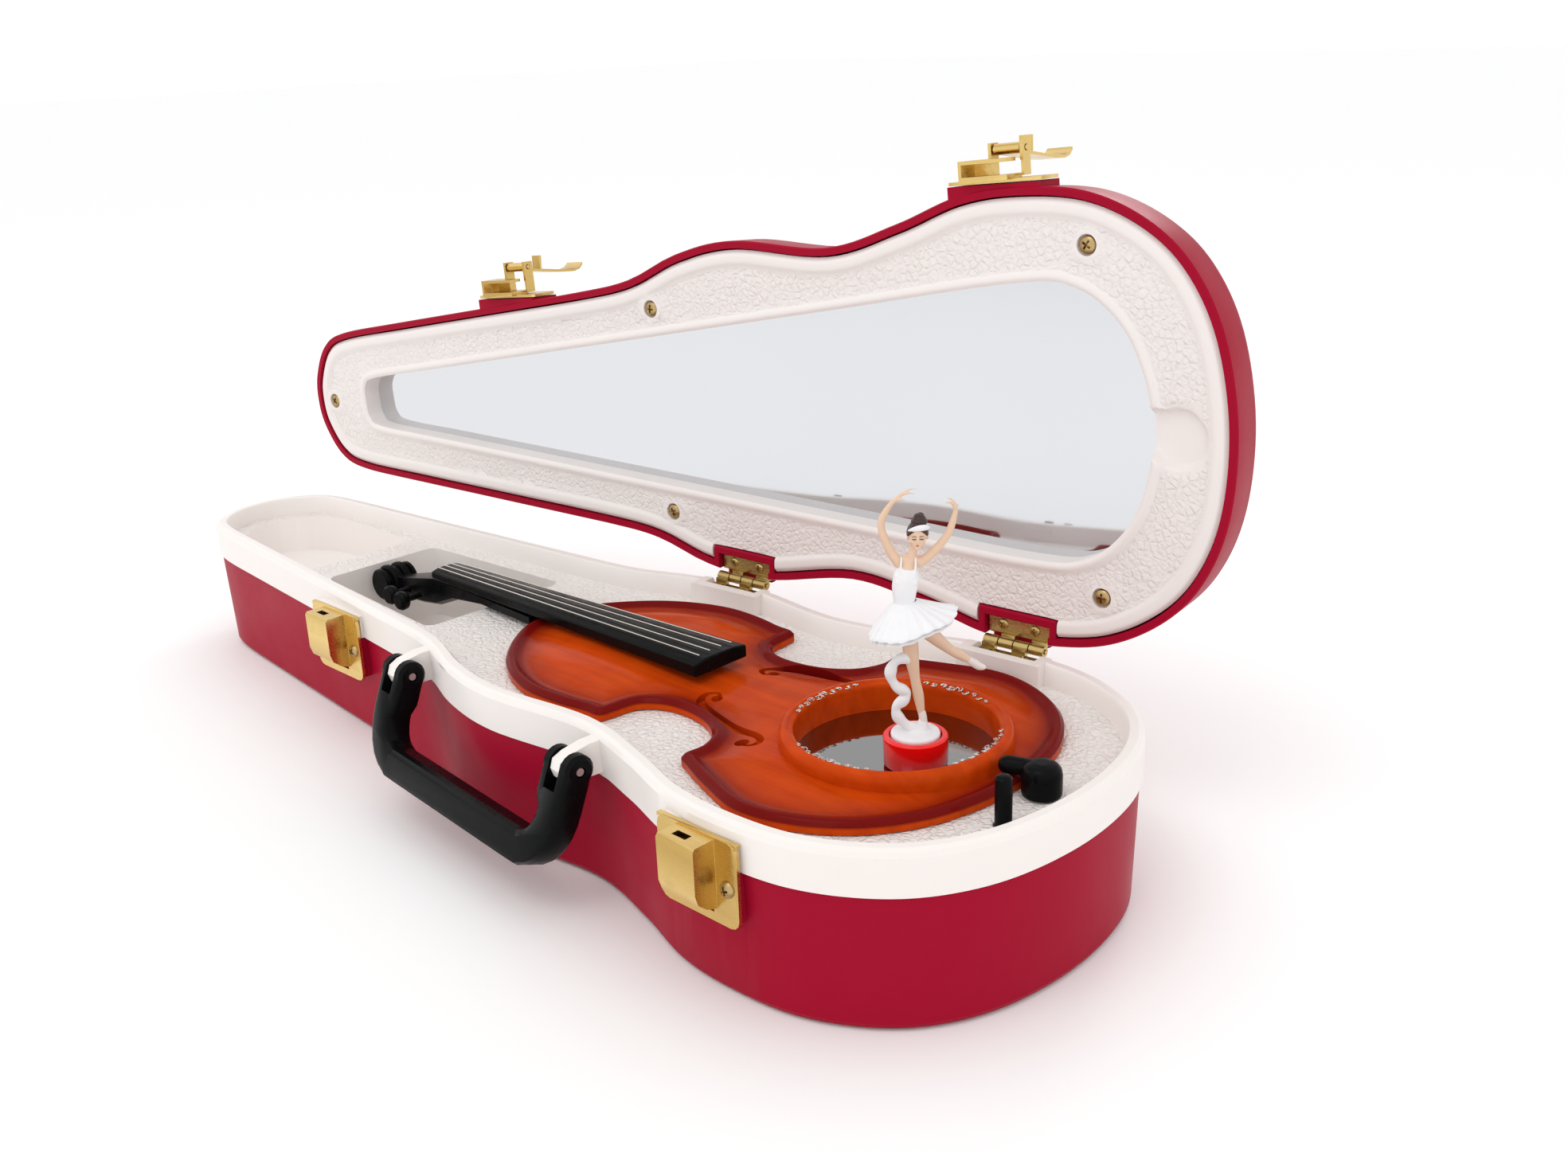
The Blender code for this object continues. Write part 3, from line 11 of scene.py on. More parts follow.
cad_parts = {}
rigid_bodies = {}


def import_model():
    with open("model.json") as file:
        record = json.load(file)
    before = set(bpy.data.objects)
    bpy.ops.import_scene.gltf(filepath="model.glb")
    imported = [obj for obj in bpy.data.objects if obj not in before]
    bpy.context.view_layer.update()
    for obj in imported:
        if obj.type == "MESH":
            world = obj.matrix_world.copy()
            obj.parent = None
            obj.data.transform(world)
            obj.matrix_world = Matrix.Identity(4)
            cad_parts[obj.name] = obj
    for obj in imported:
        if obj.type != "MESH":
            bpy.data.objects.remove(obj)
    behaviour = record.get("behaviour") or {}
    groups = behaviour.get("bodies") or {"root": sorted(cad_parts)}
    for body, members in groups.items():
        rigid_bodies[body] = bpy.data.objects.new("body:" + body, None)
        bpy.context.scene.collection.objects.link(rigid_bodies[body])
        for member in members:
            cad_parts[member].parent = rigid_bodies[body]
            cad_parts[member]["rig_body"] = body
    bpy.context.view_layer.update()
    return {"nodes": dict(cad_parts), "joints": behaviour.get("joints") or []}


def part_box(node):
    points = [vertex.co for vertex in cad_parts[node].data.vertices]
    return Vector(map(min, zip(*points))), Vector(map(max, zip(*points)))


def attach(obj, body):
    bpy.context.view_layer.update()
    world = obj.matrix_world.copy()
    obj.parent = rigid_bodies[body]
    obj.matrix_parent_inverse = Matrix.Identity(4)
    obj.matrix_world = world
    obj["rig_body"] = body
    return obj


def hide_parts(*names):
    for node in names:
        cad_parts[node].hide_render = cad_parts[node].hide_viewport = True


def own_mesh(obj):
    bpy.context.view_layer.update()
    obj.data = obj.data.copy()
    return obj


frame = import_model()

MM = 0.001  # every shape below is drawn in millimetres


# ---- places taken from the frame
def box_mm(node):
    """Lowest and highest corner of a CAD node, in mm."""
    low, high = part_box(node)
    return low / MM, high / MM


def joint(name):
    """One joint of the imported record."""
    return next(j for j in frame["joints"] if j["name"] == name)


def body_of(node):
    """The CAD body that a node belongs to."""
    return frame["nodes"][node]["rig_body"]


HINGE = joint("lid_hinge")
HINGE_POINT = Vector(HINGE["pos_m"]) / MM
LID_OPEN = math.radians(HINGE["range_deg"][1])
# lid pieces are drawn closed, then turned open as the frame stands
OPENED = (
    Matrix.Translation(HINGE_POINT)
    @ Matrix.Rotation(-LID_OPEN, 4, Vector(HINGE["axis"]))
    @ Matrix.Translation(-HINGE_POINT)
)
CLOSED = OPENED.inverted()
DISH = Vector(joint("dancer_orbit")["pos_m"]).xy / MM
LOW, HIGH = box_mm("pedestal")
FIGURE_FOOT = Vector(((LOW.x + HIGH.x) / 2, (LOW.y + HIGH.y) / 2, box_mm("ballerina")[0].z))
FIGURE_TURN = math.radians(42.0)  # the dancer's own +X, seen from above
FIGURE = Matrix.Translation(FIGURE_FOOT) @ Matrix.Rotation(FIGURE_TURN, 4, "Z")
TRAY_FLOOR = 34.2
SQUARE = ((-1, -1), (1, -1), (1, 1), (-1, 1))
UP = (0.0, 0.0, 1.0)


# ---- node helpers
class Look:
    """A Principled material with a few shortcuts for procedural detail."""

    def __init__(self, name, colour, roughness, metallic=0.0, coat=0.0, coat_roughness=0.05, **sockets):
        self.material = bpy.data.materials.new(name)
        self.material.use_nodes = True
        self.tree = self.material.node_tree
        self.shader = self.tree.nodes["Principled BSDF"]
        self.colour = colour
        self.set("Base Color", (*colour, 1.0))
        self.set("Roughness", roughness)
        self.set("Metallic", metallic)
        self.set("Coat Weight", coat)
        self.set("Coat Roughness", coat_roughness)
        for key, value in sockets.items():
            self.set(key.replace("_", " "), value)
        self.place = self.tree.nodes.new("ShaderNodeTexCoord").outputs["Object"]
        self.last_normal = None

    def set(self, socket, value):
        self.shader.inputs[socket].default_value = value

    def link(self, source, target):
        self.tree.links.new(source, target)

    def feed(self, socket, value):
        """Link a node's output to a socket, or set a plain value on it."""
        if hasattr(value, "is_output"):
            self.link(value, socket)
        else:
            socket.default_value = value

    def drive(self, socket, source):
        """Link an output to one of the shader's own sockets."""
        self.link(source, self.shader.inputs[socket])

    def node(self, kind, **inputs):
        made = self.tree.nodes.new(kind)
        for key, value in inputs.items():
            self.feed(made.inputs[key.replace("_", " ")], value)
        return made

    def painted(self, name):
        """A value stored on the mesh's points."""
        made = self.tree.nodes.new("ShaderNodeAttribute")
        made.attribute_name = name
        return made.outputs["Fac"]

    def stretched(self, scale, turn=(0.0, 0.0, 0.0)):
        """Object coordinates scaled per axis."""
        mapping = self.node("ShaderNodeMapping", Vector=self.place, Scale=scale, Rotation=turn)
        return mapping.outputs["Vector"]

    def noise(self, size, detail=3.0, vector=None):
        """Noise with features of about that size in mm."""
        sizes = {"Scale": 1.0 / (size * MM), "Detail": detail, "Roughness": 0.55}
        return self.node("ShaderNodeTexNoise", Vector=vector or self.place, **sizes).outputs["Fac"]

    def cells(self, size, feature="F1"):
        """Voronoi distance with cells of about that size in mm."""
        made = self.node("ShaderNodeTexVoronoi", Vector=self.place, Scale=1.0 / (size * MM))
        made.feature = feature
        return made.outputs["Distance"]

    def math(self, operation, a, b=0.0, clamp=False):
        made = self.tree.nodes.new("ShaderNodeMath")
        made.operation = operation
        made.use_clamp = clamp
        for socket, value in zip(made.inputs, (a, b)):
            self.feed(socket, value)
        return made.outputs[0]

    def ramp(self, value, *stops):
        """Colour ramp from (position, grey or colour) stops."""
        made = self.tree.nodes.new("ShaderNodeValToRGB")
        self.link(value, made.inputs["Fac"])
        elements = made.color_ramp.elements
        while len(elements) < len(stops):
            elements.new(0.5)
        for element, (position, colour) in zip(elements, stops):
            element.position = position
            grey = isinstance(colour, float)
            element.color = (colour, colour, colour, 1.0) if grey else (*colour, 1.0)
        return made.outputs["Color"]

    def blend(self, share, a, b):
        """Mix two colours by share."""
        made = self.tree.nodes.new("ShaderNodeMix")
        made.data_type = "RGBA"
        for socket, value in ((made.inputs[0], share), (made.inputs[6], a), (made.inputs[7], b)):
            self.feed(socket, (*value, 1.0) if isinstance(value, tuple) else value)
        return made.outputs[2]

    def bump(self, height, depth):
        """Bump whose full height is depth in mm; later bumps build on earlier ones."""
        made = self.node("ShaderNodeBump", Height=height, Distance=depth * MM, Strength=1.0)
        if self.last_normal is not None:
            self.link(self.last_normal, made.inputs["Normal"])
        self.last_normal = made.outputs["Normal"]
        self.drive("Normal", self.last_normal)

    def mottle(self, size, amount, darker=0.75):
        """Slight colour variation in patches."""
        share = self.ramp(self.noise(size, 4.0), (0.35, 0.0), (0.75, amount))
        dark = tuple(c * darker for c in self.colour)
        self.drive("Base Color", self.blend(share, self.colour, dark))

    def vary_roughness(self, size, low, high):
        """Roughness drifting between two levels."""
        self.drive("Roughness", self.ramp(self.noise(size, 3.0), (0.3, low), (0.7, high)))

    def above(self, normal, level, soft):
        """0 below a plane and 1 above it: normal is a unit vector, level and soft are in mm."""
        dot = self.tree.nodes.new("ShaderNodeVectorMath")
        dot.operation = "DOT_PRODUCT"
        self.link(self.place, dot.inputs[0])
        dot.inputs[1].default_value = normal
        height = self.math("SUBTRACT", dot.outputs["Value"], (level - soft / 2) * MM)
        return self.math("DIVIDE", height, soft * MM, clamp=True)


def grain(look, mask=None, depth=0.42):
    """Pebbled leather grain moulded into cream plastic; mask is 1 where it shows."""
    pebbles = look.math("SUBTRACT", 1.0, look.cells(1.1))
    creases = look.ramp(look.cells(1.8, "DISTANCE_TO_EDGE"), (0.0, 0.0), (0.2, 1.0))
    height = look.math("MULTIPLY", pebbles, 0.45)
    for part, share in ((creases, 0.35), (look.noise(0.4, 3.0), 0.25), (look.noise(1.7, 2.0), 0.4)):
        height = look.math("ADD", height, look.math("MULTIPLY", part, share))
    if mask is not None:
        height = look.math("MULTIPLY", height, mask)
    look.bump(height, depth)


def cream_look():
    look = Look("cream_plastic", (0.90, 0.845, 0.81), 0.34, 0.0, 0.1, 0.25, Subsurface_Weight=0.08)
    look.set("Subsurface Radius", (0.004, 0.003, 0.002))
    look.mottle(30.0, 0.25, 0.93)
    floor_low = look.above(UP, TRAY_FLOOR - 0.5, 0.4)
    floor_high = look.math("SUBTRACT", 1.0, look.above(UP, TRAY_FLOOR + 0.5, 0.4))
    split = look.node("ShaderNodeSeparateXYZ")
    look.link(look.node("ShaderNodeNewGeometry").outputs["True Normal"], split.inputs[0])
    level = look.math("GREATER_THAN", split.outputs["Z"], 0.9)
    grain(look, look.math("MULTIPLY", look.math("MULTIPLY", floor_low, floor_high), level), 0.6)
    look.vary_roughness(14.0, 0.3, 0.42)
    return look.material


def liner_look():
    look = Look("liner_cream", (0.87, 0.815, 0.79), 0.42, Specular_IOR_Level=0.3)
    look.mottle(26.0, 0.3, 0.93)
    grain(look, look.painted("grain"))
    look.vary_roughness(12.0, 0.34, 0.48)
    return look.material


def red_look():
    look = Look("shell_red", (0.36, 0.0045, 0.026), 0.38, Specular_IOR_Level=0.05)
    look.mottle(40.0, 0.35, 0.85)
    look.bump(look.noise(0.35, 3.0), 0.012)
    look.bump(look.noise(7.0, 2.0), 0.03)
    look.vary_roughness(20.0, 0.31, 0.42)
    return look.material


def mirror_look(name, colour, roughness):
    look = Look(name, colour, roughness, metallic=1.0, coat=0.6, coat_roughness=0.02)
    smears = look.noise(18.0, 4.0, vector=look.stretched((1.0, 3.0, 1.6), (0.3, 0.2, 0.5)))
    look.drive("Roughness", look.ramp(smears, (0.35, roughness), (0.8, roughness + 0.03)))
    look.mottle(60.0, 0.2, 0.93)
    return look.material


def lacquer_look(name, burst):
    """Orange violin lacquer over streaked wood; burst darkens it towards the edge."""
    orange = (0.60, 0.058, 0.003)
    look = Look(name, orange, 0.24, coat=0.13, coat_roughness=0.02, Specular_IOR_Level=0.02)
    look.set("Coat IOR", 1.3)
    streaks = look.noise(2.6, 5.0, vector=look.stretched((0.09, 1.0, 0.6)))
    flame = look.noise(9.0, 3.0, vector=look.stretched((1.0, 0.35, 0.5)))
    wood = look.blend(look.ramp(streaks, (0.35, 0.0), (0.72, 1.0)), orange, (0.46, 0.04, 0.002))
    wood = look.blend(look.ramp(flame, (0.4, 0.0), (0.8, 0.35)), wood, (0.66, 0.10, 0.005))
    if burst:
        edge = look.painted("burst")
        patchy = look.math("ADD", edge, look.math("MULTIPLY", look.noise(12.0, 2.0), 0.12))
        share = look.ramp(patchy, (0.08, 0.0), (0.5, 0.42), (0.95, 1.0))
        wood = look.blend(share, wood, (0.17, 0.005, 0.004))
    look.drive("Base Color", wood)
    look.bump(look.noise(5.0, 2.0), 0.02)
    look.vary_roughness(10.0, 0.16, 0.26)
    return look.material


def black_look(name="black_gloss", roughness=0.26):
    look = Look(name, (0.003, 0.0033, 0.0036), roughness, Specular_IOR_Level=0.07)
    look.mottle(9.0, 0.6, 1.4)
    look.bump(look.noise(0.4, 3.0), 0.002)
    look.bump(look.noise(6.0, 2.0), 0.03)
    look.vary_roughness(8.0, roughness - 0.06, roughness + 0.1)
    return look.material


def metal_look(name, colour, roughness, scratches=(1.0, 14.0, 14.0)):
    """Polished or plated metal with drawn scratches, tarnish, small dents and painted dark reflection bands
    that follow the facing angle.
    """
    look = Look(name, colour, roughness, metallic=1.0, Anisotropic=0.25)
    tarnish = look.ramp(look.noise(4.5, 4.0), (0.5, 0.0), (0.85, 0.4))
    dark = tuple(c * 0.6 for c in colour)
    # painted reflection: the base colour turns dark brown in bands as the surface turns from the view,
    # standing in for dark surroundings mirrored in the metal; shade below holds this painted shade
    facing = look.node("ShaderNodeLayerWeight", Blend=0.5).outputs["Facing"]
    painted_reflection_bands = look.ramp(facing, (0.08, 0.0), (0.34, 0.75), (0.55, 0.1), (0.85, 0.8))
    shade = look.blend(painted_reflection_bands, colour, tuple(c * f for c, f in zip(colour, (0.5, 0.4, 0.26))))
    look.drive("Base Color", look.blend(tarnish, shade, dark))
    lines = look.noise(2.4, 3.0, vector=look.stretched(scratches))
    look.bump(lines, 0.012)
    look.bump(look.noise(1.8, 2.0), 0.035)
    look.drive("Roughness", look.ramp(lines, (0.3, roughness * 0.8), (0.75, roughness * 1.7)))
    return look.material


def paint_look(name, colour, roughness, coat=0.0, patch=3.0, darker=0.8, relief=0.02, subsurface=0.0):
    """Painted or moulded resin with brushed-on unevenness."""
    look = Look(name, colour, roughness, coat=coat, coat_roughness=0.08, Subsurface_Weight=subsurface)
    look.set("Subsurface Radius", (0.0012, 0.0006, 0.0004))
    look.mottle(patch, 0.5, darker)
    look.bump(look.noise(0.6, 3.0), relief)
    look.vary_roughness(patch, roughness * 0.85, min(1.0, roughness * 1.25))
    return look.material


LOOKS = {
    "cream": cream_look(),
    "liner": liner_look(),
    "red": red_look(),
    "mirror": mirror_look("mirror_glass", (0.70, 0.715, 0.74), 0.02),
    "floor_mirror": mirror_look("floor_mirror_glass", (0.33, 0.315, 0.305), 0.03),
    "violin": lacquer_look("violin_lacquer", True),
    "ring": lacquer_look("ring_lacquer", False),
    "black": black_look(),
    "handle": black_look("handle_black", 0.27),
    "brass": metal_look("brass", (0.86, 0.63, 0.24), 0.2),
    "bronze": metal_look("hinge_bronze", (0.60, 0.45, 0.19), 0.24),
    "screw": metal_look("screw_brass", (0.55, 0.40, 0.19), 0.3),
    "steel": metal_look("steel", (0.56, 0.56, 0.57), 0.3),
    "silver": metal_look("silver", (0.85, 0.84, 0.83), 0.18),
    "pedestal": paint_look("pedestal_red", (0.95, 0.003, 0.004), 0.2, coat=0.12, patch=6.0, relief=0.008),
    "skin": paint_look("dancer_skin", (0.80, 0.56, 0.40), 0.42, darker=0.9, subsurface=0.1),
    "dress": paint_look("dancer_dress", (0.86, 0.855, 0.87), 0.4, darker=0.94, subsurface=0.1),
    "hair": paint_look("dancer_hair", (0.045, 0.018, 0.014), 0.3, patch=1.0, darker=0.5, relief=0.06),
    "slipper": paint_look("dancer_slipper", (0.82, 0.72, 0.68), 0.35, darker=0.9),
    "feature": paint_look("dancer_feature", (0.06, 0.03, 0.025), 0.5, patch=0.5),
    "lips": paint_look("dancer_lips", (0.55, 0.16, 0.14), 0.45, patch=0.5),
    "rubber": paint_look("rubber", (0.025, 0.025, 0.025), 0.8, patch=4.0, darker=1.6, relief=0.06),
    "pin_pink": paint_look("pin_pink", (0.32, 0.2, 0.2), 0.4, patch=2.0),
}


# ---- shape helpers
def add(name, data):
    """A new object in the scene."""
    obj = bpy.data.objects.new(name, data)
    bpy.context.collection.objects.link(obj)
    return obj


def solid(bm, name="tool"):
    """An object from a bmesh drawn in mm; cut() throws the tools away."""
    bm.transform(Matrix.Scale(MM, 4))
    bmesh.ops.recalc_face_normals(bm, faces=bm.faces)
    mesh = bpy.data.meshes.new(name)
    bm.to_mesh(mesh)
    bm.free()
    return add(name, mesh)


def all_smooth(mesh):
    mesh.polygons.foreach_set("use_smooth", [True] * len(mesh.polygons))


def shade(mesh, smooth):
    """Smooth shading, broken at edges sharper than that many degrees."""
    all_smooth(mesh)
    mesh.set_sharp_from_angle(angle=math.radians(smooth))


def piece(name, bm, look, body, place=None, smooth=40.0, replaces=()):
    """Make a piece from a bmesh drawn in mm and hang it on its body."""
    if place is not None:
        bm.transform(place)
    obj = solid(bm, name)
    obj.data.materials.append(LOOKS[look])
    shade(obj.data, smooth)
    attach(obj, body)
    if replaces:
        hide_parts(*replaces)
    return obj


def settle(obj):
    """Apply every modifier of an object to its mesh."""
    graph = bpy.context.evaluated_depsgraph_get()
    baked = bpy.data.meshes.new_from_object(obj.evaluated_get(graph))
    old = obj.data
    obj.modifiers.clear()
    obj.data = baked
    bpy.data.meshes.remove(old)


def welded(node):
    """A CAD node's mesh in mm as one clean bmesh, without its triangulation."""
    bm = bmesh.new()
    bm.from_mesh(frame["nodes"][node].data)
    bmesh.ops.remove_doubles(bm, verts=bm.verts, dist=2e-6)
    bmesh.ops.dissolve_limit(bm, angle_limit=math.radians(0.6), verts=bm.verts, edges=bm.edges)
    bm.transform(Matrix.Scale(1.0 / MM, 4))
    return bm


def refine(node, look, slot, bevel=0.0, segments=2, smooth=40.0, angle=38.0, turned=None, reshape=None):
    """A CAD node again, with rounded edges that catch the light, standing for the node.
    reshape works on its mesh; turned takes a piece drawn closed to where it stands open."""
    bm = welded(node)
    if reshape is not None:
        if turned is not None:
            bm.transform(turned.inverted())
        reshape(bm)
        if turned is not None:
            bm.transform(turned)
    obj = piece(f"{node}_finish", bm, look, body_of(node), smooth=smooth, replaces=[node])
    if bevel:
        round_edges(obj, bevel, segments, angle)
    return obj


def rings_into(bm, rings, cap=True):
    """Skin equal rings of points; caps close the two ends."""
    loops = [[bm.verts.new(p) for p in ring] for ring in rings]
    count = len(loops[0])
    for a, b in zip(loops, loops[1:]):
        for i in range(count):
            j = (i + 1) % count
            bm.faces.new((a[i], a[j], b[j], b[i]))
    if cap:
        bm.faces.new(loops[0][::-1])
        bm.faces.new(loops[-1])


def circle(cx, cy, radius, count):
    turn = 2.0 * math.pi / count
    return [(cx + radius * math.cos(i * turn), cy + radius * math.sin(i * turn)) for i in range(count)]


def lathe(profile, count=48, centre=(0.0, 0.0)):
    """Solid of revolution about a vertical axis from (radius, z) pairs."""
    bm = bmesh.new()
    rings_into(bm, [[(x, y, z) for x, y in circle(*centre, r, count)] for r, z in profile])
    return bm


def catmull(points, steps, closed=False):
    """Smooth curve through points of any size."""
    points = [Vector(p) for p in points]
    count = len(points)
    spans = count if closed else count - 1
    out = []
    for i in range(spans):
        if closed:
            a, b, c, d = (points[(i + k) % count] for k in (-1, 0, 1, 2))
        else:
            a, b, c, d = (points[min(max(i + k, 0), count - 1)] for k in (-1, 0, 1, 2))
        for s in range(steps):
            t = s / steps
            out.append(
                a * (-0.5 * t + t * t - 0.5 * t**3)
                + b * (1.0 - 2.5 * t * t + 1.5 * t**3)
                + c * (0.5 * t + 2.0 * t * t - 1.5 * t**3)
                + d * (-0.5 * t * t + 0.5 * t**3)
            )
    if not closed:
        out.append(points[-1])
    return out


def tube_into(bm, points, radii, count=10, flat=1.0, across=(0.0, 1.0, 0.0)):
    """Round or flattened tube through points, with a rounded end at both ends."""
    points = [Vector(p) for p in points]
    rings = []
    last = len(points) - 1
    for i, p in enumerate(points):
        along = (points[min(i + 1, last)] - points[max(i - 1, 0)]).normalized()
        side = Vector(across) - along * along.dot(Vector(across))
        if side.length < 1e-4:
            side = Vector((1.0, 0.0, 0.0)) - along * along.x
        side.normalize()
        other = along.cross(side)
        r = radii[i] if hasattr(radii, "__len__") else radii
        first = [(-0.9, 0.4), (-0.6, 0.8)] if i == 0 else []
        final = [(0.6, 0.8), (0.9, 0.4)] if i == last else []
        for ahead, share in [*first, (0.0, 1.0), *final]:
            middle = p + along * (r * ahead)
            angles = [2 * math.pi * k / count for k in range(count)]
            around = [side * math.cos(a) + other * (flat * math.sin(a)) for a in angles]
            rings.append([middle + spoke * (r * share) for spoke in around])
    rings_into(bm, rings)


def ball_into(bm, centre, size, count=16):
    """Ellipsoid, for sculpted blobs that a remesh melts together."""
    made = bmesh.ops.create_uvsphere(bm, u_segments=count, v_segments=count // 2, radius=1.0)
    scale = Matrix.Diagonal((*size, 1.0))
    bmesh.ops.transform(bm, matrix=Matrix.Translation(centre) @ scale, verts=made["verts"])


def melted(name, bm, look, body, voxel, smoothing=4, place=None, replaces=()):
    """Melt overlapping blobs into one skin, as a sculptor would."""
    obj = piece(name, bm, look, body, place=place, smooth=180.0, replaces=replaces)
    step = obj.modifiers.new("melt", "REMESH")
    step.mode = "VOXEL"
    step.voxel_size = voxel * MM
    step = obj.modifiers.new("soften", "SMOOTH")
    step.iterations = smoothing
    step.factor = 0.6
    settle(obj)
    all_smooth(obj.data)


def cut(obj, tools):
    """Boolean difference with each tool, then clean away the tools."""
    for tool in tools:
        step = obj.modifiers.new("cut", "BOOLEAN")
        step.operation = "DIFFERENCE"
        step.solver = "EXACT"
        step.object = tool
    settle(obj)
    for tool in tools:
        bpy.data.objects.remove(tool, do_unlink=True)


def segment_distance(points, outline):
    """Distance of each point from a closed outline."""
    a = np.array(outline, float)
    b = np.roll(a, -1, axis=0)
    best = np.full(len(points), 1e9)
    for p, q in zip(a, b):
        d = q - p
        t = np.clip(((points - p) @ d) / max(d @ d, 1e-12), 0, 1)
        best = np.minimum(best, np.linalg.norm(points - p - t[:, None] * d, axis=1))
    return best


def mirrored(half, steps):
    """Closed smooth outline from one half, front first, counter-clockwise."""
    front = [(x, -w) for x, w in half]
    back = [(x, w) for x, w in reversed(half[1:-1])]
    return [tuple(p) for p in catmull(front + back, steps, closed=True)]


def inset(outline, distance):
    """Move a counter-clockwise outline inwards along its normals."""
    count = len(outline)
    out = []
    for i, (x, y) in enumerate(outline):
        (ax, ay), (bx, by) = outline[i - 1], outline[(i + 1) % count]
        size = math.hypot(bx - ax, by - ay)
        out.append((x - (by - ay) / size * distance, y + (bx - ax) / size * distance))
    return out


def inside(points, outline):
    """Which points lie inside a closed outline."""
    x, y = points[:, 0], points[:, 1]
    hit = np.zeros(len(points), bool)
    for (ax, ay), (bx, by) in zip(outline, outline[1:] + outline[:1]):
        if ay != by:
            crosses = (ay > y) != (by > y)
            hit ^= crosses & (x < (bx - ax) * (y - ay) / (by - ay) + ax)
    return hit


def sheet(outline, holes, rows, step, height, extra=()):
    """Triangulated open sheet inside an outline: close rows of points follow every edge and a loose
    grid fills the rest. height takes the flat points and gives z for each."""
    loops = [outline, *holes]
    fixed = [p for loop in loops for p in loop]
    edges, start = [], 0
    for loop in loops:
        edges += [(start + i, start + (i + 1) % len(loop)) for i in range(len(loop))]
        start += len(loop)
    loose, gaps = [], []
    for loop in loops:
        for inward in rows:
            loose += inset(loop, inward if loop is outline else -inward)
            gaps += [inward] * len(loop)
    loose += list(extra)
    gaps += [0.3] * len(extra)
    low, high = np.min(outline, axis=0), np.max(outline, axis=0)
    y, row = low[1], 0
    while y < high[1]:
        x = low[0] + (step / 2 if row % 2 else 0.0)
        while x < high[0]:
            loose.append((x, y))
            gaps.append(rows[-1] + step * 0.6)
            x += step
        y += step * 0.866
        row += 1
    flat = np.array(loose)
    keep = inside(flat, outline)
    for loop in loops:
        keep &= segment_distance(flat, loop) > np.array(gaps) * 0.92
    for hole in holes:
        keep &= ~inside(flat, hole)
    points = [Vector(p) for p in fixed] + [Vector(p) for p in flat[keep]]
    verts, _, faces = delaunay_2d_cdt(points, edges, [], 0, 1e-4)[:3]
    flat = np.array([tuple(v) for v in verts])
    middles = np.array([flat[list(f)].mean(axis=0) for f in faces])
    good = inside(middles, outline)
    for hole in holes:
        good &= ~inside(middles, hole)
    bm = bmesh.new()
    made = [bm.verts.new((x, y, z)) for (x, y), z in zip(flat, height(flat))]
    for face, wanted in zip(faces, good):
        if wanted:
            bm.faces.new([made[i] for i in face])
    for v in [v for v in bm.verts if not v.link_faces]:
        bm.verts.remove(v)
    return bm


def walls(bm, *levels):
    """Extend every open edge of a sheet to each height in turn, and close the far side flat."""
    boundary = [e for e in bm.edges if e.is_boundary]
    upper = list(bm.faces)
    for z in levels:
        made = bmesh.ops.extrude_edge_only(bm, edges=boundary)["geom"]
        for v in (g for g in made if isinstance(g, bmesh.types.BMVert)):
            v.co.z = z
        boundary = [g for g in made if isinstance(g, bmesh.types.BMEdge) and g.is_boundary]
    corners_used = dict.fromkeys(v for f in upper for v in f.verts)
    copied = bmesh.ops.duplicate(bm, geom=upper + list(corners_used))
    for v in (g for g in copied["geom"] if isinstance(g, bmesh.types.BMVert)):
        v.co.z = levels[-1]
    bmesh.ops.remove_doubles(bm, verts=bm.verts, dist=1e-4)


# half of the case's outline, x and half width
CASE_HALF = [
    (-160.0, 0.0), (-158.3, 8.6), (-151.5, 18.0), (-140.0, 22.2), (-110.0, 25.2),
    (-70.0, 28.9), (-30.0, 32.6), (-10.0, 35.4), (8.0, 41.4), (28.0, 44.1),
    (57.0, 41.2), (78.0, 45.6), (95.0, 50.8), (110.0, 52.1), (127.0, 50.3),
    (141.0, 43.8), (151.0, 34.0), (157.6, 19.5), (160.0, 0.0),
]
# half of the mirror's opening in the closed lid
MIRROR_HALF = [
    (-134.5, 0.0), (-133.6, 5.2), (-128.0, 7.8), (-100.0, 10.6), (-50.0, 15.6),
    (0.0, 20.6), (60.0, 26.6), (108.0, 31.4), (124.0, 30.0), (134.5, 21.5), (139.6, 9.5), (140.4, 0.0),
]
FINE = 8  # finer points in each span of the frame's outline
COARSE = 2  # the frame's own points in each span


def smooth_outline(bm, reach=9.0, cuts=3):
    """Split the long edges that follow the case's outline and move them onto the true curve."""
    coarse = np.array(mirrored(CASE_HALF, COARSE))
    fine = np.array(mirrored(CASE_HALF, FINE))
    ahead = np.roll(coarse, -1, axis=0)

    def nearest(p):
        d = ahead - coarse
        t = np.clip(((p - coarse) * d).sum(axis=1) / (d * d).sum(axis=1), 0, 1)
        gap = np.linalg.norm(p - coarse - t[:, None] * d, axis=1)
        k = int(gap.argmin())
        return k, t[k], gap[k]

    chosen = []
    for edge in bm.edges:
        a, b = (v.co for v in edge.verts)
        if abs(a.z - b.z) > 1.2 or (a - b).length < 2.4:
            continue
        middle = np.array(((a.x + b.x) / 2, (a.y + b.y) / 2))
        k, _, gap = nearest(middle)
        along = ahead[k] - coarse[k]
        size = np.linalg.norm(along) * (a.xy - b.xy).length
        share = abs(float(along @ np.array((b.x - a.x, b.y - a.y)))) / size
        if gap < reach and share > 0.97:
            chosen.append(edge)
    bmesh.ops.subdivide_edges(bm, edges=chosen, cuts=cuts, use_grid_fill=True)
    ratio = FINE // COARSE
    for v in bm.verts:
        p = np.array((v.co.x, v.co.y))
        k, t, gap = nearest(p)
        if gap > reach:
            continue
        place = t * ratio
        lower = min(int(place), ratio - 1)
        a, b = fine[(k * ratio + lower) % len(fine)], fine[(k * ratio + lower + 1) % len(fine)]
        shift = a + (b - a) * (place - lower) - (coarse[k] + (ahead[k] - coarse[k]) * t)
        v.co.x += shift[0]
        v.co.y += shift[1]


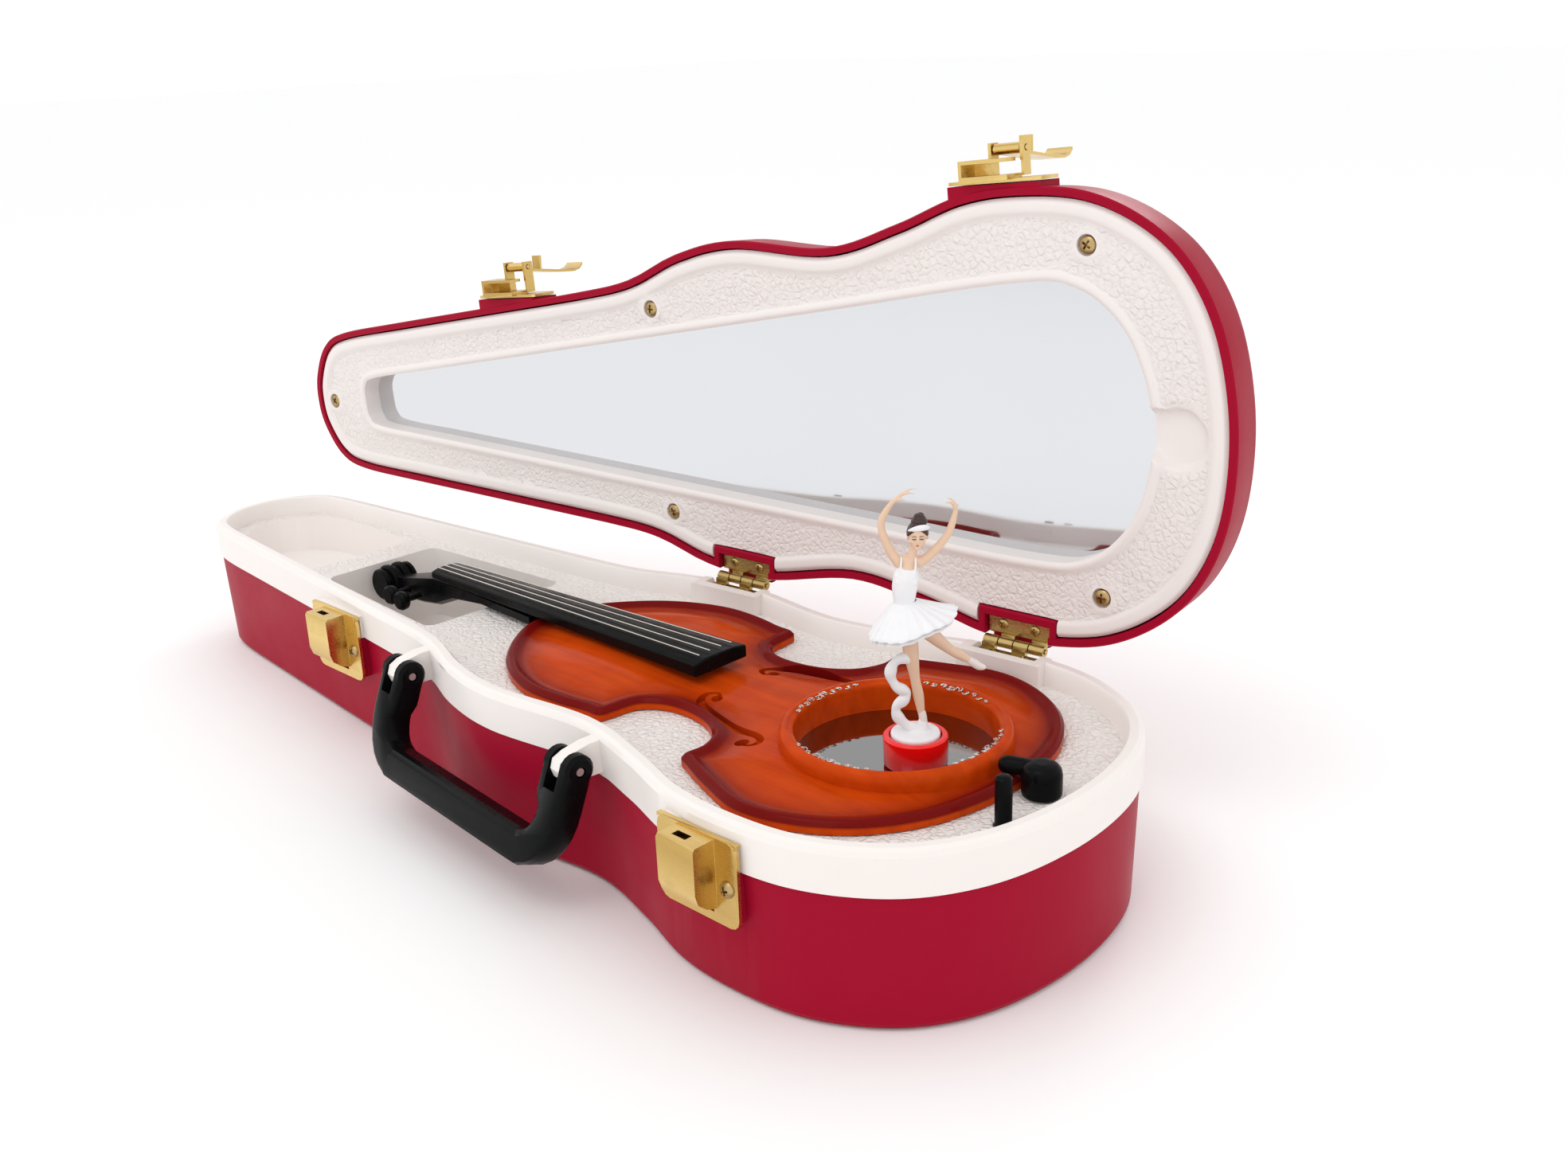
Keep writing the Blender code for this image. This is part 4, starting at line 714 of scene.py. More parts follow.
# ---- fasteners
def phillips(name, radius, dome, place, look, body, replaces=(), depth=0.55):
    """Domed screw head with a real cross recess, drawn facing +Z at the origin."""
    head = [(0.66, dome * 0.78), (0.4, dome * 0.95), (0.12, dome)]
    head = [(0.98, -0.9), (1.0, -0.15), (0.97, 0.05), (0.86, dome * 0.45), *head]
    obj = piece(name, lathe([(radius * r, z) for r, z in head], 28), look, body, smooth=50.0)
    tools = []
    for turn in (24.0, 114.0):
        groove = bmesh.new()
        reach, half = radius * 0.62, radius * 0.13
        levels = ((0.55, 0.7, dome - depth - 0.3), (1.0, 1.0, dome + 0.2))
        rings_into(groove, [[(x * reach * a, y * half * b, z) for x, y in SQUARE] for a, b, z in levels])
        groove.transform(Matrix.Rotation(math.radians(turn), 4, "Z"))
        tools.append(solid(groove))
    cut(obj, tools)
    obj.data.transform(Matrix.Translation(place.to_translation() * MM) @ place.to_3x3().to_4x4())
    shade(obj.data, 35.0)
    if replaces:
        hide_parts(*replaces)


def facing(point, normal, turn=0.0):
    """Matrix that takes +Z to the normal at a point."""
    out = Vector(normal).normalized().to_track_quat("Z", "Y").to_matrix().to_4x4()
    return Matrix.Translation(Vector(point)) @ out @ Matrix.Rotation(math.radians(turn), 4, "Z")


# ---- case and lid
def make_case():
    curved = {"segments": 3, "smooth": 30.0, "angle": 50.0, "reshape": smooth_outline}
    refine("base_shell", "red", "shell_red", bevel=0.9, **curved)
    refine("base_tray", "cream", "tray_cream", bevel=0.6, **curved)
    for n in range(1, 6):
        refine(f"foot_{n}", "rubber", "feet", bevel=0.15)


LINER_EDGE = 2.3  # how far the liner stands in from the lid's outline
LINER_BACK = 47.4
KEYHOLE = (((146.2, 2.2), 7.0), ((142.2, 0.8), 5.4))  # pocket that clears the tail clamp
LINER_SCREWS = [(-151.0, 0.0), (-2.9, -27.6), (-2.9, 27.6), (127.0, -39.0), (127.0, 39.0)]
HINGE_PLACES = (20.5, 104.0)
HINGE_HALF = 8.2


def hinge_place(x):
    """Frame on the hinge line: X along it, Y outwards, Z up."""
    axis = Vector(HINGE["axis"])
    tilt = math.atan2(axis.y, axis.x)
    return Matrix.Translation((x, HINGE_POINT.y + x * math.tan(tilt), 0.0)) @ Matrix.Rotation(tilt, 4, "Z")


def step_up(x, start, end):
    """Smooth 0 to 1 between start and end."""
    t = np.clip((x - start) / (end - start), 0, 1)
    return t * t * (3 - 2 * t)


def hinge_box(place, half, near, far, *heights):
    """A box across a hinge: only ever a cutter, or rounded afterwards."""
    bm = bmesh.new()
    rings_into(bm, [[(-half, near, z), (half, near, z), (half, far, z), (-half, far, z)] for z in heights])
    bm.transform(place)
    return bm


def make_lid():
    refine("lid_shell", "red", "shell_red", bevel=0.35, segments=3, smooth=30.0, angle=50.0, turned=OPENED,
           reshape=smooth_outline)
    refine("lid_mirror", "mirror", "mirror_glass", bevel=0.3)
    make_liner()
    make_hinge_frames()
    down = OPENED.to_3x3() @ Vector((0.0, 0.0, -1.0))
    for n, (x, y) in enumerate(LINER_SCREWS, start=1):
        at = OPENED @ Vector((x, y, RIM + 0.75))
        place = facing(at, down, 31.0 * n)
        phillips(f"lid_screw_{n}_finish", 2.05, 0.7, place, "screw", "lid", [f"lid_screw_{n}"])


# height of the closed lid's rim
RIM = min((CLOSED @ (v.co / MM)).z for v in frame["nodes"]["lid_shell"].data.vertices)


def liner_relief(flat):
    """Depth of the liner below its rim, and how strongly its grain shows, at each flat point."""
    outer = segment_distance(flat, LINER_OUTLINE)
    inner = segment_distance(flat, MIRROR_OUTLINE)
    depth = 0.95 * step_up(outer, 2.9, 4.6) * step_up(inner, 1.5, 3.0)
    depth += 0.9 * (1 - step_up(outer, 0.0, 1.6)) ** 2 + 0.5 * (1 - step_up(inner, 0.0, 1.1)) ** 2
    smooth_part = step_up(outer, 3.6, 4.8) * step_up(inner, 2.0, 3.2)
    for (x, y), radius in KEYHOLE:
        gap = radius - np.hypot(flat[:, 0] - x, flat[:, 1] - y)
        depth = np.maximum(depth, 2.7 * step_up(gap, -0.2, 1.2))
        smooth_part = smooth_part * (1 - step_up(gap, -1.2, 0.2))
    for x, y in LINER_SCREWS:
        gap = np.hypot(flat[:, 0] - x, flat[:, 1] - y) - 2.5
        rise = step_up(gap, 0.2, 2.2)
        depth = np.where(gap < 2.2, np.maximum(depth * rise, 0.25 * (1 - rise)), depth)
        smooth_part = smooth_part * step_up(gap, 0.2, 1.6)
    return depth, smooth_part


def points_of(obj):
    """A mesh's points in mm."""
    return np.array([v.co for v in obj.data.vertices]) / MM


def paint(obj, name, values):
    """Store a value on each point, for the look to read."""
    store = obj.data.attributes.new(name, "FLOAT", "POINT")
    store.data.foreach_set("value", values.astype(np.float32))


def make_liner():
    """Cream liner: rolled border, sunk grained field, a lip round the mirror and the clamp's pocket."""
    pocket = [p for (x, y), radius in KEYHOLE for inward in (-0.2, 0.15, 0.5, 0.85, 1.2, 2.0, 3.4)
              for p in circle(x, y, radius - inward, 54)]
    bm = sheet(LINER_OUTLINE, [MIRROR_OUTLINE], (0.25, 0.6, 1.0, 1.6, 2.3, 2.9, 3.4, 3.9, 4.5, 5.4), 2.2,
               lambda flat: RIM + liner_relief(flat)[0], pocket)
    walls(bm, LINER_BACK)
    liner = piece("liner", bm, "liner", "lid", smooth=60.0, replaces=["lid_liner"])
    tools = []
    for x in HINGE_PLACES:
        gap = hinge_box(hinge_place(x), HINGE_HALF + 2.6, -8.2, 8.0, RIM - 3.0, LINER_BACK + 2.0)
        tools.append(solid(gap))
    for place in LINER_SCREWS:
        tools.append(solid(lathe([(2.35, RIM - 2.0), (2.35, RIM + 1.3)], 28, place)))
    cut(liner, tools)
    co = points_of(liner)
    _, field = liner_relief(co[:, :2])
    paint(liner, "grain", field * (co[:, 2] < RIM + 3.0))
    opened = OPENED.copy()
    opened.translation = OPENED.translation * MM
    liner.data.transform(opened)
    shade(liner.data, 50.0)


LINER_OUTLINE = inset(mirrored(CASE_HALF, FINE), LINER_EDGE)
MIRROR_OUTLINE = mirrored(MIRROR_HALF, 10)


def make_hinge_frames():
    """Red surrounds that the lid's hinge leaves are sunk into."""
    for n, x in enumerate(HINGE_PLACES, start=1):
        place = OPENED @ hinge_place(x)
        outer = hinge_box(place, HINGE_HALF + 2.3, -7.9, -2.2, RIM + 0.05, RIM + 5.2)
        obj = piece(f"hinge_frame_{n}", outer, "red", "lid")
        cut(obj, [solid(hinge_box(place, HINGE_HALF + 0.5, -5.9, 8.0, RIM - 2.0, RIM + 2.5))])
        round_edges(obj, 0.4, 3)
        back = hinge_box(place, HINGE_HALF - 0.6, -2.4, 0.1, RIM + 2.6, RIM + 4.4)
        round_edges(piece(f"hinge_back_{n}", back, "red", "lid"), 0.3, 3)


def round_edges(obj, width, segments=2, angle=38.0):
    """Rounded edges on a finished mesh."""
    step = obj.modifiers.new("round", "BEVEL")
    step.width = width * MM
    step.segments = segments
    step.limit_method = "ANGLE"
    step.angle_limit = math.radians(angle)
    step.harden_normals = True
    all_smooth(obj.data)


# ---- violin
VIOLIN_HALF = [
    (-6.4, 0.0), (-5.5, 7.0), (-1.8, 14.0), (4.2, 21.0), (11.2, 26.8), (19.5, 31.0), (29.0, 33.4),
    (39.0, 33.2), (47.0, 31.9), (52.0, 31.4), (53.0, 28.0), (54.0, 22.0), (58.5, 18.4), (65.0, 17.3),
    (73.0, 18.7), (79.5, 22.8), (82.4, 28.6), (82.3, 34.0), (85.4, 35.8), (95.0, 39.6), (107.0, 43.0),
    (119.0, 40.8), (130.5, 33.5), (138.6, 22.0), (142.0, 9.5), (142.5, 0.0),
]
SOUND_HOLE = [
    (67.2, 8.6), (65.4, 7.3), (63.4, 8.8), (64.0, 11.6), (68.5, 14.2), (75.0, 16.0), (82.0, 17.3),
    (88.4, 17.8), (90.8, 19.6), (90.2, 22.0), (87.6, 22.6),
]
GROOVE = 1.75  # depth of the sound holes' grooves


def arch(d):
    """Height of the violin's top above its edge, d mm in from the outline."""
    bead = 0.75 * np.exp(-(((d - 1.5) / 1.15) ** 2))
    shoulder = -0.55 * np.exp(-((d / 0.45) ** 2))
    channel = -0.5 * np.exp(-(((d - 5.2) / 2.6) ** 2))
    return bead + shoulder + channel + 0.9 * step_up(d, 4.0, 26.0)


def make_violin():
    low, high = box_mm("violin_body")
    outline = mirrored(VIOLIN_HALF, 6)
    top = high.z + 0.1
    bm = sheet(outline, [], (0.3, 0.65, 1.05, 1.5, 2.0, 2.6, 3.3, 4.2, 5.3), 1.8,
               lambda flat: top + arch(segment_distance(flat, outline)))
    walls(bm, top - 1.2, low.z + 0.3, low.z)
    body = piece("violin_top", bm, "violin", "case", replaces=["violin_body"])
    tools = [solid(lathe([(24.6, low.z - 2.0), (24.6, top + 6.0)], 96, DISH))]
    for side in (-1.0, 1.0):
        spine = catmull(SOUND_HOLE, 5)
        wide = len(spine) - 1
        left, right = [], []
        for i, p in enumerate(spine):
            along = (spine[min(i + 1, wide)] - spine[max(i - 1, 0)]).normalized()
            across = Vector((-along.y, along.x))
            half = 0.4 + 0.95 * math.sin(math.pi * i / wide) ** 2
            left.append(p + across * half)
            right.append(p - across * half)
        ring = [(p.x, side * p.y) for p in left + right[::-1]]
        if side < 0:
            ring.reverse()
        groove = bmesh.new()
        rings_into(groove, [[(x, y, top - GROOVE) for x, y in ring], [(x, y, top + 4.0) for x, y in ring]])
        tools.append(solid(groove))
        for x, y, radius in ((66.9, 9.2, 1.35), (87.6, 21.7, 1.65)):
            eye = [(radius, top - GROOVE - 0.02), (radius, top + 4.0)]
            tools.append(solid(lathe(eye, 28, (x, side * y))))
    cut(body, tools)
    co = points_of(body)
    edge = segment_distance(co[:, :2], outline)
    burst = np.clip(1.0 - (edge - 1.8) / 11.0, 0, 1) ** 1.6
    burst = np.maximum(burst, 0.95 * np.clip((4.4 - edge) / 1.2, 0, 1))
    wall = np.clip((top - 0.55 - co[:, 2]) / 0.5, 0, 1) * (edge < 0.6)
    burst = burst * (1 - wall)
    paint(body, "burst", burst)
    shade(body.data, 38.0)


def make_fingerboard():
    refine("fingerboard", "black", "black_gloss", bevel=0.45, segments=3, angle=30.0)
    refine("neck_and_scroll", "black", "black_gloss", bevel=0.35, segments=2, angle=45.0)
    for n in range(1, 5):
        refine(f"tuning_peg_{n}", "black", "black_gloss", bevel=0.2)
        low, high = box_mm(f"string_{n}")
        bm = bmesh.new()
        y0, y1 = (low.y, high.y) if n > 2 else (high.y, low.y)
        inward = 0.22 if n > 2 else -0.22
        start = Vector((low.x, y0 + inward, low.z + 0.22))
        end = Vector((high.x, y1 - inward, high.z - 0.22))
        tube_into(bm, [start.lerp(end, t / 12) for t in range(13)], 0.17, 10)
        piece(f"string_{n}_finish", bm, "silver", "case", replaces=[f"string_{n}"])


# ---- dance floor
def make_dance_floor():
    low, high = box_mm("dance_floor_ring")
    outer, top = (high.x - low.x) / 2, high.z
    lip = [(1.1, 0.12), (1.7, 0.0), (2.1, 0.1), (2.3, 0.42), (2.55, 0.5)]
    lip += [(3.1, 0.62), (3.35, 0.95), (3.45, 1.6)]
    profile = [(0.1, 34.8), (0.0, 36.2), (0.0, 38.4), (0.12, 39.3), (0.5, 40.1)]
    profile += [(inward, top - drop) for inward, drop in lip] + [(3.55, 36.0), (3.6, 33.93)]
    bm = bmesh.new()
    rings = [[(x, y, z) for x, y in circle(*DISH, outer - inward, 144)] for inward, z in profile]
    rings_into(bm, rings + [rings[0]], cap=False)
    bmesh.ops.remove_doubles(bm, verts=bm.verts, dist=1e-4)
    piece("dance_ring", bm, "ring", "case", smooth=60.0, replaces=["dance_floor_ring"])
    refine("dance_floor_mirror", "floor_mirror", "mirror_glass", bevel=0.1)
    make_filigree(outer - 2.9, top - 0.5)


FILIGREE_ANGLES = (6.0, 94.0, 178.0, 271.0)


def make_filigree(radius, z):
    """Four clusters of silver scrollwork round the ring's inner shoulder."""
    bm = bmesh.new()

    def on_ring(angle, out, lift=0.0):
        r = radius + out
        return (DISH.x + r * math.cos(angle), DISH.y + r * math.sin(angle), z + 0.1 + lift + 0.16 * out)

    def curl(angle, turn, size, way):
        points, radii = [], []
        for t in (k / 14 for k in range(15)):
            a, r = turn + way * t * 4.6, size * (1.0 - 0.78 * t)
            lift = 0.12 * math.sin(math.pi * t)
            points.append(on_ring(angle + r * math.cos(a) / radius, r * math.sin(a), lift))
            radii.append(0.13 - 0.05 * t)
        tube_into(bm, points, radii, 6, across=UP)

    def leaf(angle, turn, size):
        points, radii = [], []
        for t in (k / 5 for k in range(6)):
            r = size * t
            points.append(on_ring(angle + r * math.cos(turn) / radius, r * math.sin(turn), 0.1))
            radii.append(0.04 + 0.15 * math.sin(math.pi * min(1.0, t * 1.15 + 0.08)) ** 1.2)
        tube_into(bm, points, radii, 6, across=UP)

    for middle in (math.radians(a) for a in FILIGREE_ANGLES):
        for side in (-1, 1):
            for k in range(5):
                angle = middle + side * math.radians(2.6 + 5.3 * k)
                size = 1.15 - 0.13 * k
                curl(angle, (0.5 if k % 2 else -0.5) * side, size, side if k % 2 else -side)
                leaf(angle, 2.2 * side if k % 2 else -0.9 * side, 1.2 - 0.1 * k)
                leaf(angle + side * 0.03, math.pi / 2 + side * 0.7, 0.9 - 0.08 * k)
        leaf(middle, math.pi / 2, 1.3)
        leaf(middle, -math.pi / 2, 1.0)
    piece("ring_filigree", bm, "silver", "case", smooth=180.0)


# ---- dancer
# drawn in mm, standing at the origin and facing -Y; limbs are (x, y, z, radius) points
STANDING_LEG = [
    (1.6, -0.1, 3.2, 0.75), (1.3, 0.1, 5.4, 0.7), (0.7, 0.35, 9.5, 1.12), (0.0, 0.1, 13.6, 1.02),
    (-0.6, 0.3, 18.0, 1.5), (-1.3, 0.4, 24.0, 1.9),
]
RAISED_LEG = [
    (0.6, 1.0, 25.5, 1.9), (4.2, 2.2, 21.6, 1.5), (7.4, 3.3, 18.4, 1.05), (9.6, 3.9, 16.8, 1.0),
    (11.6, 4.4, 15.4, 0.62),
]
CHEST_AND_NECK = [
    (-1.9, 0.1, 33.0, 2.3), (-1.4, 0.0, 36.6, 2.2), (-0.9, 0.1, 39.0, 1.25), (-0.3, -0.1, 40.6, 0.85),
    (0.2, -0.2, 42.4, 0.9),
]
SHOULDERS = [(-3.3, 0.2, 38.6, 1.0), (-1.0, 0.2, 39.0, 1.1), (1.4, 0.2, 38.7, 1.0)]
RIGHT_ARM = [
    (-3.0, 0.2, 38.4, 1.05), (-4.9, -0.2, 41.6, 0.95), (-6.3, -0.6, 45.6, 0.78), (-6.1, -0.9, 48.2, 0.74),
    (-4.6, -1.3, 50.9, 0.55), (-3.3, -1.6, 52.3, 0.4),
]
LEFT_ARM = [
    (1.2, 0.2, 38.5, 1.05), (3.9, -0.1, 40.8, 0.92), (6.4, -0.5, 44.0, 0.78), (7.4, -0.8, 46.4, 0.72),
    (8.1, -1.2, 49.2, 0.5), (8.0, -1.3, 50.2, 0.42),
]
FINGERS = (
    [(-3.3, -1.6, 52.3, 0.42), (-2.2, -1.8, 53.2, 0.34), (-0.9, -2.1, 53.5, 0.2), (0.1, -2.3, 53.4, 0.14)],
    [(-3.2, -1.4, 52.4, 0.36), (-2.0, -1.4, 53.4, 0.26), (-0.6, -1.5, 54.1, 0.17), (0.6, -1.6, 54.2, 0.12)],
    [(-3.1, -1.8, 52.1, 0.3), (-2.3, -2.2, 52.3, 0.22), (-1.7, -2.4, 52.2, 0.15)],
    [(8.0, -1.3, 50.1, 0.42), (7.6, -1.6, 51.0, 0.34), (6.8, -1.9, 51.4, 0.22), (6.1, -2.1, 51.3, 0.14)],
    [(8.1, -1.1, 50.2, 0.36), (7.9, -1.1, 51.2, 0.26), (7.2, -1.3, 51.9, 0.18), (6.4, -1.4, 52.1, 0.12)],
    [(8.1, -1.5, 49.9, 0.3), (8.5, -1.8, 50.6, 0.2), (8.6, -1.9, 51.1, 0.14)],
)
HEAD = Vector((0.75, -0.15, 44.2))
SKULL = (  # middle, from the head's, and size of each blob: skull, jaw, chin, nose and its tip
    ((0.0, 0.25, 0.5), (2.0, 2.25, 2.35)),
    ((-0.05, -0.55, -0.9), (1.5, 1.55, 1.75)),
    ((-0.1, -1.35, -2.15), (0.62, 0.6, 0.5)),
    ((-0.08, -2.02, -0.55), (0.26, 0.4, 0.62)),
    ((-0.08, -2.25, -0.85), (0.3, 0.28, 0.26)),
)
BODICE = [
    (-1.4, 0.3, 25.6, 2.7), (-1.8, 0.2, 28.0, 2.35), (-2.0, 0.1, 30.2, 2.15), (-1.9, 0.0, 33.2, 2.55),
    (-1.5, -0.1, 35.8, 2.62),
]
RIBBON = [
    (-0.6, -0.2, 17.6), (-2.4, -0.5, 18.3), (-4.3, -0.7, 17.2), (-5.0, -0.8, 14.8), (-3.9, -0.7, 12.3),
    (-1.9, -0.5, 10.8), (-2.2, -0.5, 9.3), (-3.9, -0.6, 7.6), (-3.6, -0.6, 5.4), (-1.9, -0.4, 3.6),
    (0.2, -0.2, 2.4),
]
SLIPPERS = (
    [(1.75, -0.15, 2.2, 0.62), (1.7, -0.2, 3.4, 0.78), (1.55, -0.1, 4.8, 0.86), (1.4, 0.05, 5.9, 0.8)],
    [(11.1, 4.3, 15.7, 0.76), (12.2, 4.6, 14.9, 0.9), (13.3, 4.9, 14.0, 0.86), (14.2, 5.2, 13.6, 0.66)],
)


def limb_into(bm, points, steps=5, count=14):
    """Tapered limb through (x, y, z, radius) points."""
    smooth = catmull([Vector(p) for p in points], steps)
    tube_into(bm, [p[:3] for p in smooth], [p[3] for p in smooth], count, across=(0.3, 1.0, 0.1))


def dancer_piece(name, bm, look, smooth=180.0):
    piece(f"dancer_{name}", bm, look, "dancer", FIGURE, smooth)


def dancer_melted(name, bm, look, voxel, smoothing, replaces=()):
    melted(f"dancer_{name}", bm, look, "dancer", voxel, smoothing, FIGURE, replaces)


def make_dancer():
    """Skin of the dancer, with a head of brow, cheeks, nose and chin, then all that she wears."""
    skin = bmesh.new()
    for points in (STANDING_LEG, RAISED_LEG, CHEST_AND_NECK, SHOULDERS, RIGHT_ARM, LEFT_ARM):
        limb_into(skin, points)
    for points in FINGERS:
        limb_into(skin, points, 3, 10)
    for middle, size in SKULL:
        ball_into(skin, HEAD + Vector(middle), size)
    for side in (-1, 1):
        ball_into(skin, HEAD + Vector((side * 0.85, -1.05, -0.75)), (0.75, 0.85, 0.7))
        ball_into(skin, HEAD + Vector((side * 1.95, 0.25, -0.45)), (0.22, 0.4, 0.55), 12)
    dancer_melted("skin", skin, "skin", 0.17, 3, replaces=["ballerina"])
    make_dancer_face()
    make_dancer_hair()
    make_dancer_dress()
    make_dancer_base()


def stroke(bm, x, half, rise, lift, radii, left=-2.02, middle=-2.13, right=-2.02):
    """Brush stroke across the face: half its width, height over the head's middle, lift of its middle."""
    z = HEAD.z + rise
    path = [(x - half, left, z), (x, middle, HEAD.z + lift), (x + half, right, z)]
    tube_into(bm, catmull(path, 4), radii, 6)


def make_dancer_face():
    """Plain painted doll's features: brows, lids and lips."""
    bm = bmesh.new()
    for side in (-1, 1):
        x = HEAD.x + side * 0.72
        stroke(bm, x, 0.38, -0.16, -0.24, 0.085)
        stroke(bm, x, 0.42, 0.3, 0.42, 0.055, right=-2.0)
    dancer_piece("eyes", bm, "feature")
    bm = bmesh.new()
    radii = [0.05 + 0.07 * math.sin(math.pi * k / 8) for k in range(9)]
    for lift in (0.06, -0.1):
        stroke(bm, HEAD.x - 0.1, 0.36, -1.48, lift - 1.48, radii, -1.96, -2.1, -1.96)
    dancer_piece("lips", bm, "lips")


def make_dancer_hair():
    """Hair drawn back into a high bun, with a white headpiece before it."""
    count, rows = 40, 14
    turns = [2 * math.pi * k / count for k in range(count)]
    # the crown starts as a tiny ring
    rings = [[(HEAD.x + 0.05 * math.cos(a), HEAD.y + 0.25 + 0.05 * math.sin(a), HEAD.z + 3.02)
              for a in turns]]
    for row in range(1, rows + 1):
        tip = row / rows
        ring = []
        for a in turns:
            # the hairline sits high over the forehead and low at the nape
            hairline = 1.0 - 0.38 * max(0.0, -math.sin(a)) ** 2 + 0.08 * max(0.0, math.sin(a))
            reach = tip * math.radians(102.0) * hairline
            out = (1.0 + 0.018 * math.sin(14 * a + 2.0 * tip)) * math.sin(reach)
            x, y = HEAD.x + 2.16 * out * math.cos(a), HEAD.y + 0.25 + 2.42 * out * math.sin(a)
            ring.append((x, y, HEAD.z + 0.5 + 2.52 * math.cos(reach)))
        rings.append(ring)
    inner = [(x * 0.9 + HEAD.x * 0.1, y * 0.9 + HEAD.y * 0.1, z - 0.16) for x, y, z in rings[-1]]
    rings.append(inner)
    bm = bmesh.new()
    rings_into(bm, rings)
    dancer_piece("hair", bm, "hair")
    bm = bmesh.new()
    knot = HEAD + Vector((0.35, 0.55, 3.3))
    for k in range(3):
        coil = []
        r = 1.15 - 0.3 * k
        for i in range(25):
            a = 2 * math.pi * i / 24 + k * 2.1
            lift = -0.55 + 0.55 * k + 0.12 * math.sin(2 * a)
            coil.append(knot + Vector((r * math.cos(a), r * math.sin(a), lift)))
        tube_into(bm, coil, 0.52, 12, across=UP)
    ball_into(bm, knot, (1.1, 1.1, 1.0))
    dancer_melted("bun", bm, "hair", 0.13, 1)
    bm = bmesh.new()
    for k in range(13):
        a = math.radians(-150.0 + 13.0 * k)
        lift = math.sin(math.pi * k / 12)
        at = HEAD + Vector((0.15 + 1.95 * math.cos(a), 0.25 + 2.15 * math.sin(a), 1.35 + 0.75 * lift))
        ball_into(bm, at, (0.42, 0.36, 0.28 + 0.42 * lift), 12)
    dancer_melted("headpiece", bm, "dress", 0.12, 1)


def tutu_point(a, t, reach, drop, flutes, phase):
    """Point of a tutu layer at an angle, t running from the waist to the hem."""
    wave = math.sin(flutes * a + phase) * 0.14 * t**1.3 + math.sin(5 * a + 1.3) * 0.25 * t
    r = 2.05 + (8.9 * reach - 2.05) * t**0.92 + 0.2 * t * math.sin(flutes * a + phase + 0.9)
    x = -1.6 * (1 - t) - 0.35 * t + r * math.cos(a)
    z = 30.6 - 4.9 * t**1.05 + (0.298 * r * math.cos(a)) * t**0.6 - drop * t**0.5 + wave
    return x, 0.2 + r * 0.94 * math.sin(a), z


def make_dancer_dress():
    """Bodice with straps, and a tutu of two fluted layers."""
    bodice = bmesh.new()
    limb_into(bodice, BODICE, 5, 24)
    for side in (-1, 1):
        ball_into(bodice, (-1.55 + side * 1.15, -1.45, 35.0), (1.1, 1.0, 1.05))
        front = [(-1.5 + side * 1.5, -1.9, 36.0, 0.32), (-1.2 + side * 1.45, -1.5, 38.2, 0.28)]
        back = [(-1.1 + side * 1.4, 1.1, 38.6, 0.28), (-1.4 + side * 1.5, 1.9, 36.2, 0.32)]
        limb_into(bodice, [*front, (-1.1 + side * 1.4, -0.3, 39.8, 0.26), *back], 4, 8)
    dancer_melted("bodice", bodice, "dress", 0.18, 3)
    turns = [2 * math.pi * k / 168 for k in range(168)]
    for layer, shape in enumerate(((1.0, 0.0, 21, 0.0), (0.93, 1.05, 17, 0.8)), start=1):
        upper, lower = [], []
        for t in (row / 12 for row in range(13)):
            upper.append([tutu_point(a, t, *shape) for a in turns])
            lower.append([(x, y, z - 0.22 - 0.5 * (1 - t)) for x, y, z in upper[-1]])
        bm = bmesh.new()
        rings_into(bm, upper + lower[::-1] + [upper[0]], cap=False)
        bmesh.ops.remove_doubles(bm, verts=bm.verts, dist=1e-4)
        dancer_piece(f"tutu_{layer}", bm, "dress", 70.0)


def make_dancer_base():
    """White foot disc, ribbon that props the leg, and the slippers."""
    bm = lathe([(4.95, 0.0), (5.1, 0.3), (5.15, 1.5), (5.0, 1.85), (4.3, 2.0), (2.8, 2.12), (0.4, 2.25)], 48)
    limb_into(bm, [(0.9, -0.2, 1.6, 2.3), (1.3, -0.1, 2.6, 1.5), (1.55, -0.1, 4.2, 0.95)], 4, 16)
    dancer_melted("disc", bm, "dress", 0.2, 3)
    bm = bmesh.new()
    path = catmull(RIBBON, 5)
    tube_into(bm, path, [0.75 + 0.3 * math.sin(0.35 * i) ** 2 for i in range(len(path))], 12, flat=1.25)
    dancer_melted("ribbon", bm, "dress", 0.18, 3)
    bm = bmesh.new()
    for points in SLIPPERS:
        limb_into(bm, points, 5, 14)
    dancer_melted("slippers", bm, "slipper", 0.16, 2)


# ---- hardware
def make_tail_clamp():
    """Arm that reaches over the violin's edge and flows into a round post."""
    low, high = box_mm("tail_clamp")
    post = Vector((high.x - 4.3, high.y - 4.2, 0.0))
    tip = Vector((low.x + 2.3, low.y + 3.0, 0.0))
    middle = tip * 0.6 + post * 0.4
    bm = bmesh.new()
    crown = ((2.6, 4.1), (1.3, 3.8), (0.5, 3.0), (0.1, 1.6))
    profile = [(low.z, 4.1)] + [(high.z - drop, r) for drop, r in crown]
    rings_into(bm, [[(x, y, z) for x, y in circle(post.x, post.y, r, 36)] for z, r in profile])
    arm = [(tip.x, tip.y, high.z - 2.3, 2.0), (middle.x, middle.y + 0.2, high.z - 2.1, 1.8)]
    limb_into(bm, [*arm, (post.x, post.y, high.z - 2.2, 2.1)], 5, 20)
    melted("tail_clamp_finish", bm, "black", "case", 0.28, 5, replaces=["tail_clamp"])


